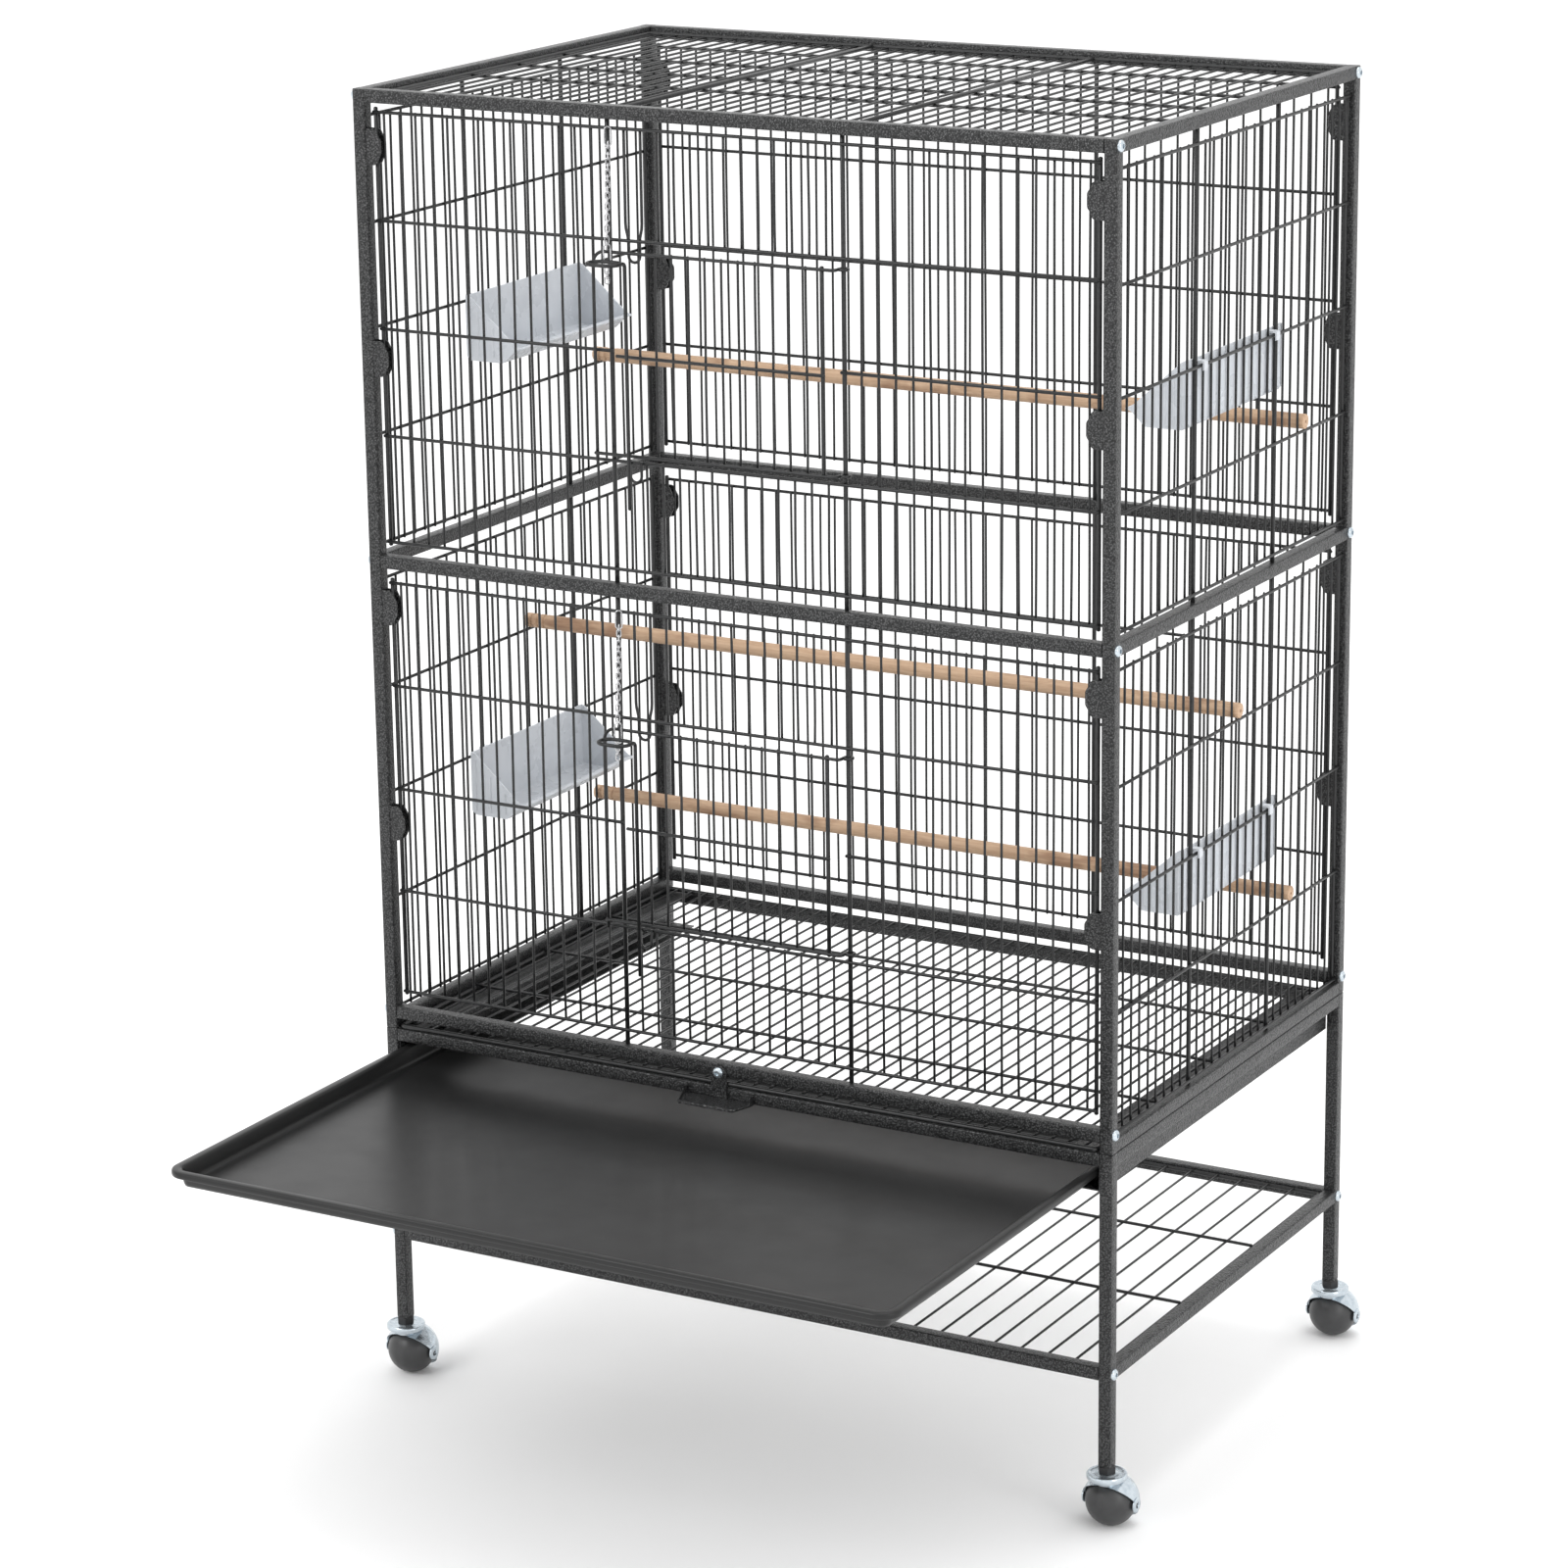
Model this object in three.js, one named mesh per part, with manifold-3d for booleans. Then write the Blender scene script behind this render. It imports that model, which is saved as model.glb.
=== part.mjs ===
// Wire bird cage on a rolling stand: two stacked cells of wire panels in a square-tube frame, two
// front doors, a slide-out tray, a floor grate, hanging feeders, perches, a lower shelf and casters.
// Millimetres, +Z up, X across the width, front towards -Y. The tray is modelled pulled out.

import * as THREE from 'three';
import { mergeVertices } from 'three/addons/utils/BufferGeometryUtils.js';
import Module from 'manifold-3d';

const wasm = await Module();
wasm.setup();

// Frame
const WIDTH = 790;                 // outside of the posts
const DEPTH = 530;
const HEIGHT = 1290;
const TUBE = 12.7;                 // side of the square tube
const GAP = 0.3;                   // clearance between touching pieces
const MIDDLE_RAIL_Z = 838;         // centre heights of the rails
const BOTTOM_RAIL_Z = 384.35;
const SHELF_Z = 153;
const SEAM_Z = 368;                // where the cage stands on the leg frames
const LEG_FOOT_Z = 62;
const CLIP_LEVELS = [1236, 1035, 793, 578];
const CLIP_REACH = 19;
const CLIP_HEIGHT = 34;

// Wire lattices: thin bars lie in the panel's plane, cross wires are welded on their outside
const THIN = 2.5;
const CROSS = 3.2;
const EDGE = 4;                    // outline wire
const THICK = 4.4;                 // plug-in wire that runs on to the rails
const CROSS_OFFSET = THIN / 2 + CROSS / 2 + GAP;
const LEVELS = [0, 103, 206, 309, 411]; // cross wires above the lowest one, front and back
const UPPER_PANEL_Z = 857.5;
const LOWER_PANEL_Z = 406;
const UPPER_SIDE_WIRES = [852, 958.5, 1061.5, 1161.5, 1263];
const LOWER_SIDE_WIRES = [385, 497.5, 604, 710, 817.5];
const FRONT_HALF = 375;            // middle to outline wire, front and back panels
const FRONT_PITCH = 17.42;
const FRONT_BARS = 21;             // bars each side of the middle one
const FRONT_THICK = 7 * FRONT_PITCH; // plug-in wires either side of the door opening
const FRONT_PLANE = 256;
const SIDE_HALF = 248;
const SIDE_SPACES = 28;
const ROOF_Z = 1283;

// Doors and their latches
const DOOR_PLANE = -266;
const DOOR_BOTTOM = 111;           // heights above the panel's lowest wire
const DOOR_MIDDLE = 203;
const DOOR_TOP = 299;
const DOOR_BARS = 12;
const STILE_X = -134;
const HINGE_LOOP = 6.4;
const HINGE_HOLE = 3.2;
const LATCH_X = -96;
const LATCH_Y = -273.1;
const LATCH_TRAVEL = 45;
const RING_LENGTH = 36;
const RING_WIDTH = 23.6;
const RING_WIRE = 3.6;
const CHAIN_X = -117;

// Tray, grate and runners
const TRAY_HALF_WIDTH = 378.5;
const TRAY_LENGTH = 500;
const TRAY_PULLED = 389.65;        // how far the front edge stands out of the frame
const TRAY_Z = 332.3;
const TRAY_TOP = 350;
const TRAY_RIM = 10;
const SHEET = 1.2;
const GRATE_HALF_WIDTH = 378;
const GRATE_Z = 370.5;
const GRATE_EDGE = 5;
const GRATE_LATCH_X = -15.5;
const GRATE_LATCH_Z = 382;

// Feeders and perches
const FEEDER_LENGTH = 208;
const FEEDER_WALL = 1.8;
const FEEDER_BACK = 386.1;
const PERCH_RADIUS = 7.25;
const PERCH_HALF_LENGTH = 394;

// Casters
const BALL_RADIUS = 24;
const CASTER_TRAIL = 9;
const HOOD_OUTER = 27;
const HOOD_INNER = 25.2;
const HOOD_TILT = THREE.MathUtils.degToRad(40);
const AXLE_RADIUS = 2.5;

const POST_X = (WIDTH - TUBE) / 2;
const POST_Y = (DEPTH - TUBE) / 2;
const INNER_X = WIDTH / 2 - TUBE;
const INNER_Y = DEPTH / 2 - TUBE;
const SIDE_PITCH = (2 * SIDE_HALF) / SIDE_SPACES;
const SIDE_THICK = 5 * SIDE_PITCH;
const RAIL_END = INNER_X - GAP;

const FINISHES = {
  frame: [0x46494b, 0.5, 0.6],
  wire: [0x26282a, 0.35, 0.7],
  tray: [0x414345, 0.5, 0.4],
  zinc: [0x9aa3ab, 0.3, 0.9],
  chain: [0xc4c8cb, 0.2, 0.95],
  ball: [0x343536, 0.5, 0.1],
  nut: [0x1e1f20, 0.6, 0.4],
  feeder: [0xc9ced4, 0.35, 0],
  wood: [0xc9a27e, 0.65, 0],
};

const cage = new THREE.Group();

// Vertices are snapped to a micron, so that faces meant to be flush are exactly flush
function solid(geometry) {
  geometry.deleteAttribute('normal');
  geometry.deleteAttribute('uv');
  const merged = mergeVertices(geometry, 1e-3);
  return new wasm.Manifold(new wasm.Mesh({
    numProp: 3,
    vertProperties: Float32Array.from(merged.attributes.position.array, (v) => Math.round(v * 1000) / 1000),
    triVerts: new Uint32Array(merged.index.array),
  }));
}

function union(solids) {
  return solids.reduce((sum, next) => sum.add(next));
}

function add(name, finish, body) {
  const result = body.getMesh();
  const geometry = new THREE.BufferGeometry();
  geometry.setAttribute('position', new THREE.BufferAttribute(result.vertProperties, 3));
  geometry.setIndex(new THREE.BufferAttribute(result.triVerts, 1));
  geometry.computeVertexNormals();
  const [color, roughness, metalness] = FINISHES[finish];
  const mesh = new THREE.Mesh(geometry, new THREE.MeshStandardMaterial({ color, roughness, metalness }));
  mesh.name = name;
  cage.add(mesh);
}

// Box between two corners
function box(x0, x1, y0, y1, z0, z1) {
  const shape = new THREE.BoxGeometry(Math.abs(x1 - x0), Math.abs(y1 - y0), Math.abs(z1 - z0));
  shape.translate((x0 + x1) / 2, (y0 + y1) / 2, (z0 + z1) / 2);
  return solid(shape);
}

// Square wires of side d along each axis
function wireX(x0, x1, y, z, d) {
  return box(x0, x1, y - d / 2, y + d / 2, z - d / 2, z + d / 2);
}

function wireY(x, y0, y1, z, d) {
  return box(x - d / 2, x + d / 2, y0, y1, z - d / 2, z + d / 2);
}

function wireZ(x, y, z0, z1, d) {
  return box(x - d / 2, x + d / 2, y - d / 2, y + d / 2, z0, z1);
}

// Round bars along each axis
function barX(x0, x1, y, z, radius, sides) {
  const shape = new THREE.CylinderGeometry(radius, radius, Math.abs(x1 - x0), sides);
  shape.rotateZ(Math.PI / 2);
  shape.translate((x0 + x1) / 2, y, z);
  return solid(shape);
}

function barY(x, y0, y1, z, radius, sides) {
  const shape = new THREE.CylinderGeometry(radius, radius, Math.abs(y1 - y0), sides);
  shape.translate(x, (y0 + y1) / 2, z);
  return solid(shape);
}

function barZ(x, y, z0, z1, radius, sides) {
  const shape = new THREE.CylinderGeometry(radius, radius, z1 - z0, sides);
  shape.rotateX(Math.PI / 2);
  shape.translate(x, y, (z0 + z1) / 2);
  return solid(shape);
}

// Flat outline, with holes, given some depth
function plate(points, holes, depth) {
  const outline = new THREE.Shape(points.map(([u, v]) => new THREE.Vector2(u, v)));
  holes.forEach((hole) => {
    outline.holes.push(new THREE.Path(hole.map(([u, v]) => new THREE.Vector2(u, v))));
  });
  return new THREE.ExtrudeGeometry(outline, { depth, bevelEnabled: false });
}

// Outline in the XZ plane, swept along Y
function sweepY(points, y0, y1) {
  const shape = plate(points, [], y1 - y0);
  shape.rotateX(Math.PI / 2);
  shape.translate(0, y1, 0);
  return solid(shape);
}

// Outline in the YZ plane, swept along X
function sweepX(points, holes, x0, x1) {
  const shape = plate(points, holes, x1 - x0);
  shape.rotateX(Math.PI / 2);
  shape.rotateZ(Math.PI / 2);
  shape.translate(x0, 0, 0);
  return solid(shape);
}

function rectangle(u0, u1, v0, v1) {
  return [[u0, v0], [u1, v0], [u1, v1], [u0, v1]];
}

// Slab with rounded corners, centred at (x, y)
function roundedSlab(x, y, halfX, halfY, radius, z0, z1) {
  const outline = new THREE.Shape();
  [[1, 1], [-1, 1], [-1, -1], [1, -1]].forEach(([sx, sy], quarter) => {
    const start = (quarter * Math.PI) / 2;
    outline.absarc(x + sx * (halfX - radius), y + sy * (halfY - radius), radius, start, start + Math.PI / 2);
  });
  const settings = { depth: z1 - z0, bevelEnabled: false, curveSegments: 4 };
  const shape = new THREE.ExtrudeGeometry(outline, settings);
  shape.translate(0, 0, z0);
  return solid(shape);
}

// Bar positions between two outline wires
function between(half, spaces) {
  return Array.from({ length: spaces - 1 }, (_, index) => ((index + 1) * 2 * half) / spaces - half);
}

function isAt(value, place) {
  return Math.abs(Math.abs(value) - place) < 0.01;
}

// Side frames of the cage: two posts, three rails, and pairs of clip plates for the lattices' edges
function clipPlate(side, y0, y1, z) {
  const root = side * (INNER_X + 1);
  const neck = side * (INNER_X - CLIP_REACH + 6);
  const tip = side * (INNER_X - CLIP_REACH);
  const half = CLIP_HEIGHT / 2;
  return sweepY([[root, z - half], [neck, z - half], [tip, z - half + 6],
    [tip, z + half - 6], [neck, z + half], [root, z + half]], y0, y1);
}

function sideFrame(side) {
  const halfTube = TUBE / 2;
  const x = side * POST_X;
  let frame = sweepX(rectangle(-DEPTH / 2, DEPTH / 2, SEAM_Z, HEIGHT), [
    rectangle(-INNER_Y, INNER_Y, SEAM_Z + TUBE, MIDDLE_RAIL_Z - halfTube),
    rectangle(-INNER_Y, INNER_Y, MIDDLE_RAIL_Z + halfTube, HEIGHT - TUBE),
  ], x - halfTube, x + halfTube);
  [-1, 1].forEach((end) => {
    CLIP_LEVELS.forEach((z) => {
      [[252.6, 253.7], [261.2, 262.7]].forEach(([near, far]) => {
        const [y0, y1] = [Math.min(end * near, end * far), Math.max(end * near, end * far)];
        frame = frame.add(clipPlate(side, y0, y1, z));
      });
    });
  });
  return frame;
}

// Leg frames: two legs, the rail under the cage and the shelf's side rail
function legFrame(side) {
  const top = SEAM_Z - GAP;
  const shelf = SHELF_Z - TUBE / 2;
  const x = side * POST_X;
  return sweepX([[-DEPTH / 2, LEG_FOOT_Z], [-INNER_Y, LEG_FOOT_Z], [-INNER_Y, shelf], [INNER_Y, shelf],
    [INNER_Y, LEG_FOOT_Z], [DEPTH / 2, LEG_FOOT_Z], [DEPTH / 2, top], [-DEPTH / 2, top]],
  [rectangle(-INNER_Y, INNER_Y, shelf + TUBE, top - TUBE)], x - TUBE / 2, x + TUBE / 2);
}

[['left', -1], ['right', 1]].forEach(([name, side]) => {
  add(`${name}_side_frame`, 'frame', sideFrame(side));
  add(`${name}_leg_frame`, 'frame', legFrame(side));
});

// Cross rails between the side frames, front and back
const railLevels = {
  top: HEIGHT - TUBE / 2,
  middle: MIDDLE_RAIL_Z,
  bottom: BOTTOM_RAIL_Z,
  stand: SEAM_Z - GAP - TUBE / 2,
  shelf: SHELF_Z,
};
Object.entries(railLevels).forEach(([level, z]) => {
  [['front', -1], ['back', 1]].forEach(([face, end]) => {
    add(`${level}_${face}_rail`, 'frame', wireX(-RAIL_END, RAIL_END, end * POST_Y, z, TUBE));
  });
});

const frontBars = Array.from({ length: 2 * FRONT_BARS + 1 },
  (_, index) => (index - FRONT_BARS) * FRONT_PITCH);
const sideBars = between(SIDE_HALF, SIDE_SPACES);

// Plain upright panel along X or Y, its cross wires on the outward side
function plainPanel(axis, plane, outward, half, bars, thickAt, levels, low, high) {
  const [z0, z1] = [levels[0], levels[4]];
  const across = (offset, z, d) => (axis === 'X'
    ? wireX(-half, half, plane + offset, z, d)
    : wireY(plane + offset, -half, half, z, d));
  const upright = (at, from, to, d) => (axis === 'X'
    ? wireZ(at, plane, from, to, d)
    : wireZ(plane, at, from, to, d));
  const pieces = [across(0, z0, CROSS), across(0, z1, CROSS)];
  [-half, half].forEach((at) => {
    pieces.push(upright(at, z0 - EDGE / 2, z1 + EDGE / 2, EDGE));
  });
  bars.forEach((at) => {
    pieces.push(isAt(at, thickAt) ? upright(at, low, high, THICK) : upright(at, z0, z1, THIN));
  });
  levels.slice(1, 4).forEach((z) => {
    pieces.push(across(outward * CROSS_OFFSET, z, CROSS));
  });
  return union(pieces);
}

// Front panel: as a plain panel, with the door opening between its plug-in wires
function frontPanel(z0, low, high) {
  const plane = -FRONT_PLANE;
  const outside = plane - CROSS_OFFSET;
  const z1 = z0 + LEVELS[4];
  const [sill, middle, lintel] = LEVELS.slice(1, 4).map((level) => z0 + level);
  const pieces = [
    wireX(-FRONT_HALF, FRONT_HALF, plane, z0, CROSS),
    wireX(-FRONT_HALF, FRONT_HALF, plane, z1, CROSS),
    wireX(-FRONT_HALF, FRONT_HALF, outside, sill, CROSS),
    wireX(-FRONT_HALF, FRONT_HALF, outside, lintel, CROSS),
    wireX(-FRONT_HALF, -FRONT_THICK, outside, middle, CROSS),
    wireX(FRONT_THICK, FRONT_HALF, outside, middle, CROSS),
  ];
  [-FRONT_HALF, FRONT_HALF].forEach((x) => {
    pieces.push(wireZ(x, plane, z0 - EDGE / 2, z1 + EDGE / 2, EDGE));
  });
  frontBars.forEach((x) => {
    if (isAt(x, FRONT_THICK)) {
      pieces.push(wireZ(x, plane, low, high, THICK));
    } else if (Math.abs(x) < FRONT_THICK) {
      pieces.push(wireZ(x, plane - 1.5, z0, sill, THIN), wireZ(x, plane - 1.5, lintel, z1, THIN));
    } else {
      pieces.push(wireZ(x, plane, z0, z1, THIN));
    }
  });
  return union(pieces);
}

const underTop = HEIGHT - TUBE - GAP;
const overMiddle = MIDDLE_RAIL_Z + TUBE / 2 + GAP;
const underMiddle = MIDDLE_RAIL_Z - TUBE / 2 - GAP;
const overBottom = BOTTOM_RAIL_Z + TUBE / 2 + GAP;
const overSeam = SEAM_Z + TUBE + GAP;
const cells = [
  {
    cell: 'upper',
    z0: UPPER_PANEL_Z,
    sideWires: UPPER_SIDE_WIRES,
    high: underTop,
    low: overMiddle,
    sideLow: overMiddle,
  },
  {
    cell: 'lower',
    z0: LOWER_PANEL_Z,
    sideWires: LOWER_SIDE_WIRES,
    high: underMiddle,
    low: overBottom,
    sideLow: overSeam,
  },
];

cells.forEach(({ cell, z0, sideWires, low, sideLow, high }) => {
  const backWires = LEVELS.map((level) => z0 + level);
  add(`${cell}_front_panel`, 'wire', frontPanel(z0, low, high));
  add(`${cell}_back_panel`, 'wire',
    plainPanel('X', FRONT_PLANE, 1, FRONT_HALF, frontBars, FRONT_THICK, backWires, low, high));
  [['left', -1], ['right', 1]].forEach(([name, side]) => {
    add(`${cell}_${name}_panel`, 'wire',
      plainPanel('Y', side * POST_X, side, SIDE_HALF, sideBars, SIDE_THICK, sideWires, sideLow, high));
  });
});

// Flat lattice: an outline, bars along Y, and cross wires above or below them
function flatLattice(halfX, y0, y1, z, edge, bars, crossYs, lift) {
  const e = edge / 2;
  const rim = plate(rectangle(-halfX - e, halfX + e, y0 - e, y1 + e),
    [rectangle(-halfX + e, halfX - e, y0 + e, y1 - e)], edge);
  rim.translate(0, 0, z - e);
  const pieces = [solid(rim)];
  bars.forEach((x) => {
    pieces.push(wireY(x, y0, y1, z, THIN));
  });
  crossYs.forEach((y) => {
    pieces.push(wireX(-halfX, halfX, y, z + lift * CROSS_OFFSET, CROSS));
  });
  return pieces;
}

const roof = flatLattice(380, -249, 249, ROOF_Z, EDGE, frontBars, [-83, 0, 83], -1);
[-FRONT_THICK, FRONT_THICK].forEach((x) => {
  roof.push(wireY(x, -INNER_Y + GAP, INNER_Y - GAP, ROOF_Z, THICK));
});
add('roof_panel', 'wire', union(roof));
add('lower_shelf', 'wire',
  union(flatLattice(379.7, -249.7, 249.7, SHELF_Z + 2, EDGE, between(379.7, 27), [-83, 83], 1)));

// Floor grate, lying on the runners with its front wire under the bottom rail
const grateFront = -DEPTH / 2 + GRATE_EDGE / 2;
add('grate', 'wire',
  union(flatLattice(GRATE_HALF_WIDTH, grateFront, 249, GRATE_Z, GRATE_EDGE, frontBars, [-128, 0, 128], 1)));

// Doors: three cross wires, bars, a stile at the free edge, and loops round the hinge wire
function door(z0) {
  const bottom = z0 + DOOR_BOTTOM;
  const top = z0 + DOOR_TOP;
  const hingeBar = FRONT_THICK - FRONT_PITCH;
  const pieces = [
    wireZ(STILE_X, DOOR_PLANE, z0 + LEVELS[1], top + CROSS / 2, EDGE),
    wireZ(hingeBar, DOOR_PLANE, bottom, top, EDGE),
    wireX(-111, hingeBar, DOOR_PLANE - CROSS_OFFSET, z0 + DOOR_MIDDLE, CROSS),
  ];
  [bottom, top].forEach((z) => {
    const z1 = z + CROSS / 2;
    const around = (half, from, to) => box(FRONT_THICK - half, FRONT_THICK + half,
      -FRONT_PLANE - half, -FRONT_PLANE + half, from, to);
    const loop = around(HINGE_LOOP, z - CROSS / 2, z1).subtract(around(HINGE_HOLE, z - CROSS, z + CROSS));
    const arm = box(FRONT_THICK - HINGE_LOOP, FRONT_THICK - HINGE_HOLE,
      DOOR_PLANE - CROSS / 2, -FRONT_PLANE, z - CROSS / 2, z1);
    pieces.push(wireX(STILE_X, FRONT_THICK - HINGE_HOLE, DOOR_PLANE, z, CROSS), arm, loop);
  });
  for (let bar = 2; bar <= DOOR_BARS; bar += 1) {
    pieces.push(wireZ(FRONT_THICK - bar * FRONT_PITCH, DOOR_PLANE, bottom, top, THIN));
  }
  return union(pieces);
}

// Door latch: a finger ring on top of an upright bolt that stands in front of the door
function doorLatch(z0) {
  const ringZ = z0 + DOOR_TOP - 8;
  const x = LATCH_X + 2 - RING_LENGTH / 2;
  const y = LATCH_Y - (RING_WIDTH - RING_WIRE) / 2;
  const ring = (inset, radius, half) => roundedSlab(x, y, RING_LENGTH / 2 - inset, RING_WIDTH / 2 - inset,
    radius, ringZ - half, ringZ + half);
  return union([
    ring(0, 7, RING_WIRE / 2).subtract(ring(RING_WIRE, 3.4, RING_WIRE)),
    wireZ(LATCH_X, LATCH_Y, z0 + 62, ringZ + RING_WIRE / 2, 4),
  ]);
}

cells.forEach(({ cell, z0 }) => {
  const ringTop = z0 + DOOR_TOP - 8 + RING_WIRE / 2;
  add(`${cell}_door`, 'wire', door(z0));
  add(`${cell}_door_latch`, 'wire', doorLatch(z0));
  add(`${cell}_safety_chain`, 'chain',
    wireZ(CHAIN_X, DOOR_PLANE + 1, ringTop + LATCH_TRAVEL + 5, z0 + LEVELS[4] - 5, 4));
});

// Runners: a channel on each side, the tray inside it and the grate on top
[['left', -1], ['right', 1]].forEach(([name, side]) => {
  const floor = TRAY_Z - GAP;
  const top = SEAM_Z - GAP;
  const profile = [[RAIL_END, floor - SHEET], [RAIL_END, top], [RAIL_END - 32, top],
    [RAIL_END - 32, top - SHEET], [RAIL_END - SHEET, top - SHEET], [RAIL_END - SHEET, floor],
    [RAIL_END - 22, floor], [RAIL_END - 22, floor - SHEET]].map(([x, z]) => [side * x, z]);
  const corner = box(side * (RAIL_END + 5), side * (RAIL_END - 40), -INNER_Y - 20, -INNER_Y + GAP,
    top - TUBE - GAP, top + 5);
  add(`${name}_tray_runner`, 'frame', sweepY(profile, -INNER_Y - 10, INNER_Y - GAP).subtract(corner));
});

// Tray: a pan with a broad rim whose outer edge is turned down
const trayY = -DEPTH / 2 - TRAY_PULLED + TRAY_LENGTH / 2;
function traySlab(inset, radius, z0, z1) {
  return roundedSlab(0, trayY, TRAY_HALF_WIDTH - inset, TRAY_LENGTH / 2 - inset, radius, z0, z1);
}
add('tray', 'tray', traySlab(0, 20, TRAY_TOP - 6, TRAY_TOP)
  .subtract(traySlab(SHEET, 18.8, TRAY_TOP - 8, TRAY_TOP - SHEET))
  .add(traySlab(TRAY_RIM, 12, TRAY_Z, TRAY_TOP))
  .subtract(traySlab(TRAY_RIM + SHEET, 10.8, TRAY_Z + SHEET, TRAY_TOP + 1)));

// Grate latch: a tab that hangs on a screw in the bottom rail, its foot bent forwards into a lip
const tabBack = -DEPTH / 2 - GAP;
const tabFront = tabBack - 2;
const lipZ = 355;
const lipOutline = new THREE.Shape([[-37, 0], [37, 0], [30, -28], [-30, -28]]
  .map(([x, y]) => new THREE.Vector2(x + GRATE_LATCH_X, y + tabBack)));
const lip = new THREE.ExtrudeGeometry(lipOutline, { depth: 2, bevelEnabled: false });
lip.translate(0, 0, lipZ);
add('grate_latch', 'frame', union([
  box(GRATE_LATCH_X - 8.5, GRATE_LATCH_X + 8.5, tabFront, tabBack, lipZ + 1, 388),
  solid(lip),
]).subtract(barY(GRATE_LATCH_X, tabBack + 1, tabFront - 1, GRATE_LATCH_Z, 3.1, 16)));
add('grate_latch_screw', 'zinc', union([
  barY(GRATE_LATCH_X, tabBack, tabFront - 1, GRATE_LATCH_Z, 2.7, 16),
  barY(GRATE_LATCH_X, tabFront - GAP, tabFront - 2.5, GRATE_LATCH_Z, 5.5, 16),
]));

// Feeder: a shallow trough under a high back wall, its end walls sloping down to a front lip,
// with two hooks over a side panel's middle wire
function feeder(side, wire, centreY) {
  const base = wire - 57;
  const rimZ = base + 16;
  const top = wire + 7;
  const back = FEEDER_BACK;
  const inner = back - FEEDER_WALL;
  const y0 = centreY - FEEDER_LENGTH / 2;
  const y1 = centreY + FEEDER_LENGTH / 2;
  const mirror = (points) => points.map(([x, z]) => [side * x, z]);
  const trough = sweepY(mirror([[back, base], [back, top], [back - 2, top], [back - 56, rimZ],
    [back - 62, rimZ], [back - 62, rimZ - FEEDER_WALL], [back - 56.5, rimZ - FEEDER_WALL],
    [back - 42, base]]), y0, y1);
  const hollow = sweepY(mirror([[inner, base + FEEDER_WALL], [inner, top + 1], [back - 54.3, top + 1],
    [back - 54.3, rimZ - FEEDER_WALL], [back - 40.5, base + FEEDER_WALL]]),
  y0 + FEEDER_WALL, y1 - FEEDER_WALL);
  const hooks = [-4.5, 4.5].map((slot) => {
    const y = slot * SIDE_PITCH;
    const under = wire + CROSS / 2 + GAP;
    const far = POST_X + CROSS_OFFSET + CROSS / 2 + GAP;
    return union([
      box(side * (inner + 0.5), side * (far + 1.6), y - 4, y + 4, under, under + 1.8),
      box(side * far, side * (far + 1.6), y - 4, y + 4, wire - 4, under + 1.8),
    ]);
  });
  return union([trough.subtract(hollow), ...hooks]);
}

const leftFeederY = { upper: 6, lower: -10 };
cells.forEach(({ cell, sideWires }) => {
  add(`${cell}_left_feeder`, 'feeder', feeder(-1, sideWires[2], leftFeederY[cell]));
  add(`${cell}_right_feeder`, 'feeder', feeder(1, sideWires[2], 5));
});

// Perches: dowels lying on the side panels' cross wires, their ends between the bars
const perches = {
  upper: [8.5, UPPER_SIDE_WIRES[1]],
  middle: [0.5, LOWER_SIDE_WIRES[3]],
  lower: [7.5, LOWER_SIDE_WIRES[1]],
};
Object.entries(perches).forEach(([name, [slot, wire]]) => {
  add(`${name}_perch`, 'wood', barX(-PERCH_HALF_LENGTH, PERCH_HALF_LENGTH, slot * SIDE_PITCH,
    wire + CROSS / 2 + GAP + PERCH_RADIUS, PERCH_RADIUS, 16));
});

// Ball caster under a leg: nut and pin, swivelling hood, axle and ball
function caster(name, x, y) {
  const centreY = y + CASTER_TRAIL;
  const ball = (radius) => {
    const shape = new THREE.SphereGeometry(radius, 16, 10);
    shape.rotateZ(Math.PI / 2);
    shape.translate(x, centreY, BALL_RADIUS);
    return solid(shape);
  };
  const bore = barX(x - 40, x + 40, centreY, BALL_RADIUS, AXLE_RADIUS + GAP, 12);
  const keepAbove = new THREE.BoxGeometry(80, 80, 40);
  keepAbove.translate(0, 0, 20);
  keepAbove.rotateX(-HOOD_TILT);
  keepAbove.translate(x, centreY, BALL_RADIUS);
  const reach = box(x - 40, x + 40, y - 60, y + 60, 20, 60);
  const cap = ball(HOOD_OUTER).intersect(solid(keepAbove)).intersect(reach);
  const hood = union([
    cap,
    barZ(x, y, 51, 54.5, 17, 24),
    barZ(x, y, 40, 52, 12, 20),
    barX(x - HOOD_OUTER, x + HOOD_OUTER, centreY, BALL_RADIUS, 6, 12),
  ]).subtract(ball(HOOD_INNER)).subtract(bore).subtract(barZ(x, y, 40, 60, 4.4, 12));
  add(`${name}_caster_stem`, 'nut', union([
    barZ(x, y, 55, LEG_FOOT_Z - GAP, 9, 6),
    barZ(x, y, 50, 56, 4, 12),
  ]));
  add(`${name}_caster_hood`, 'zinc', hood);
  add(`${name}_caster_axle`, 'zinc',
    barX(x - HOOD_OUTER, x + HOOD_OUTER, centreY, BALL_RADIUS, AXLE_RADIUS, 12));
  add(`${name}_caster_ball`, 'ball', ball(BALL_RADIUS).subtract(bore));
}

[['front', -1], ['back', 1]].forEach(([face, end]) => {
  [['left', -1], ['right', 1]].forEach(([name, side]) => {
    caster(`${face}_${name}`, side * POST_X, end * POST_Y);
  });
});

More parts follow.
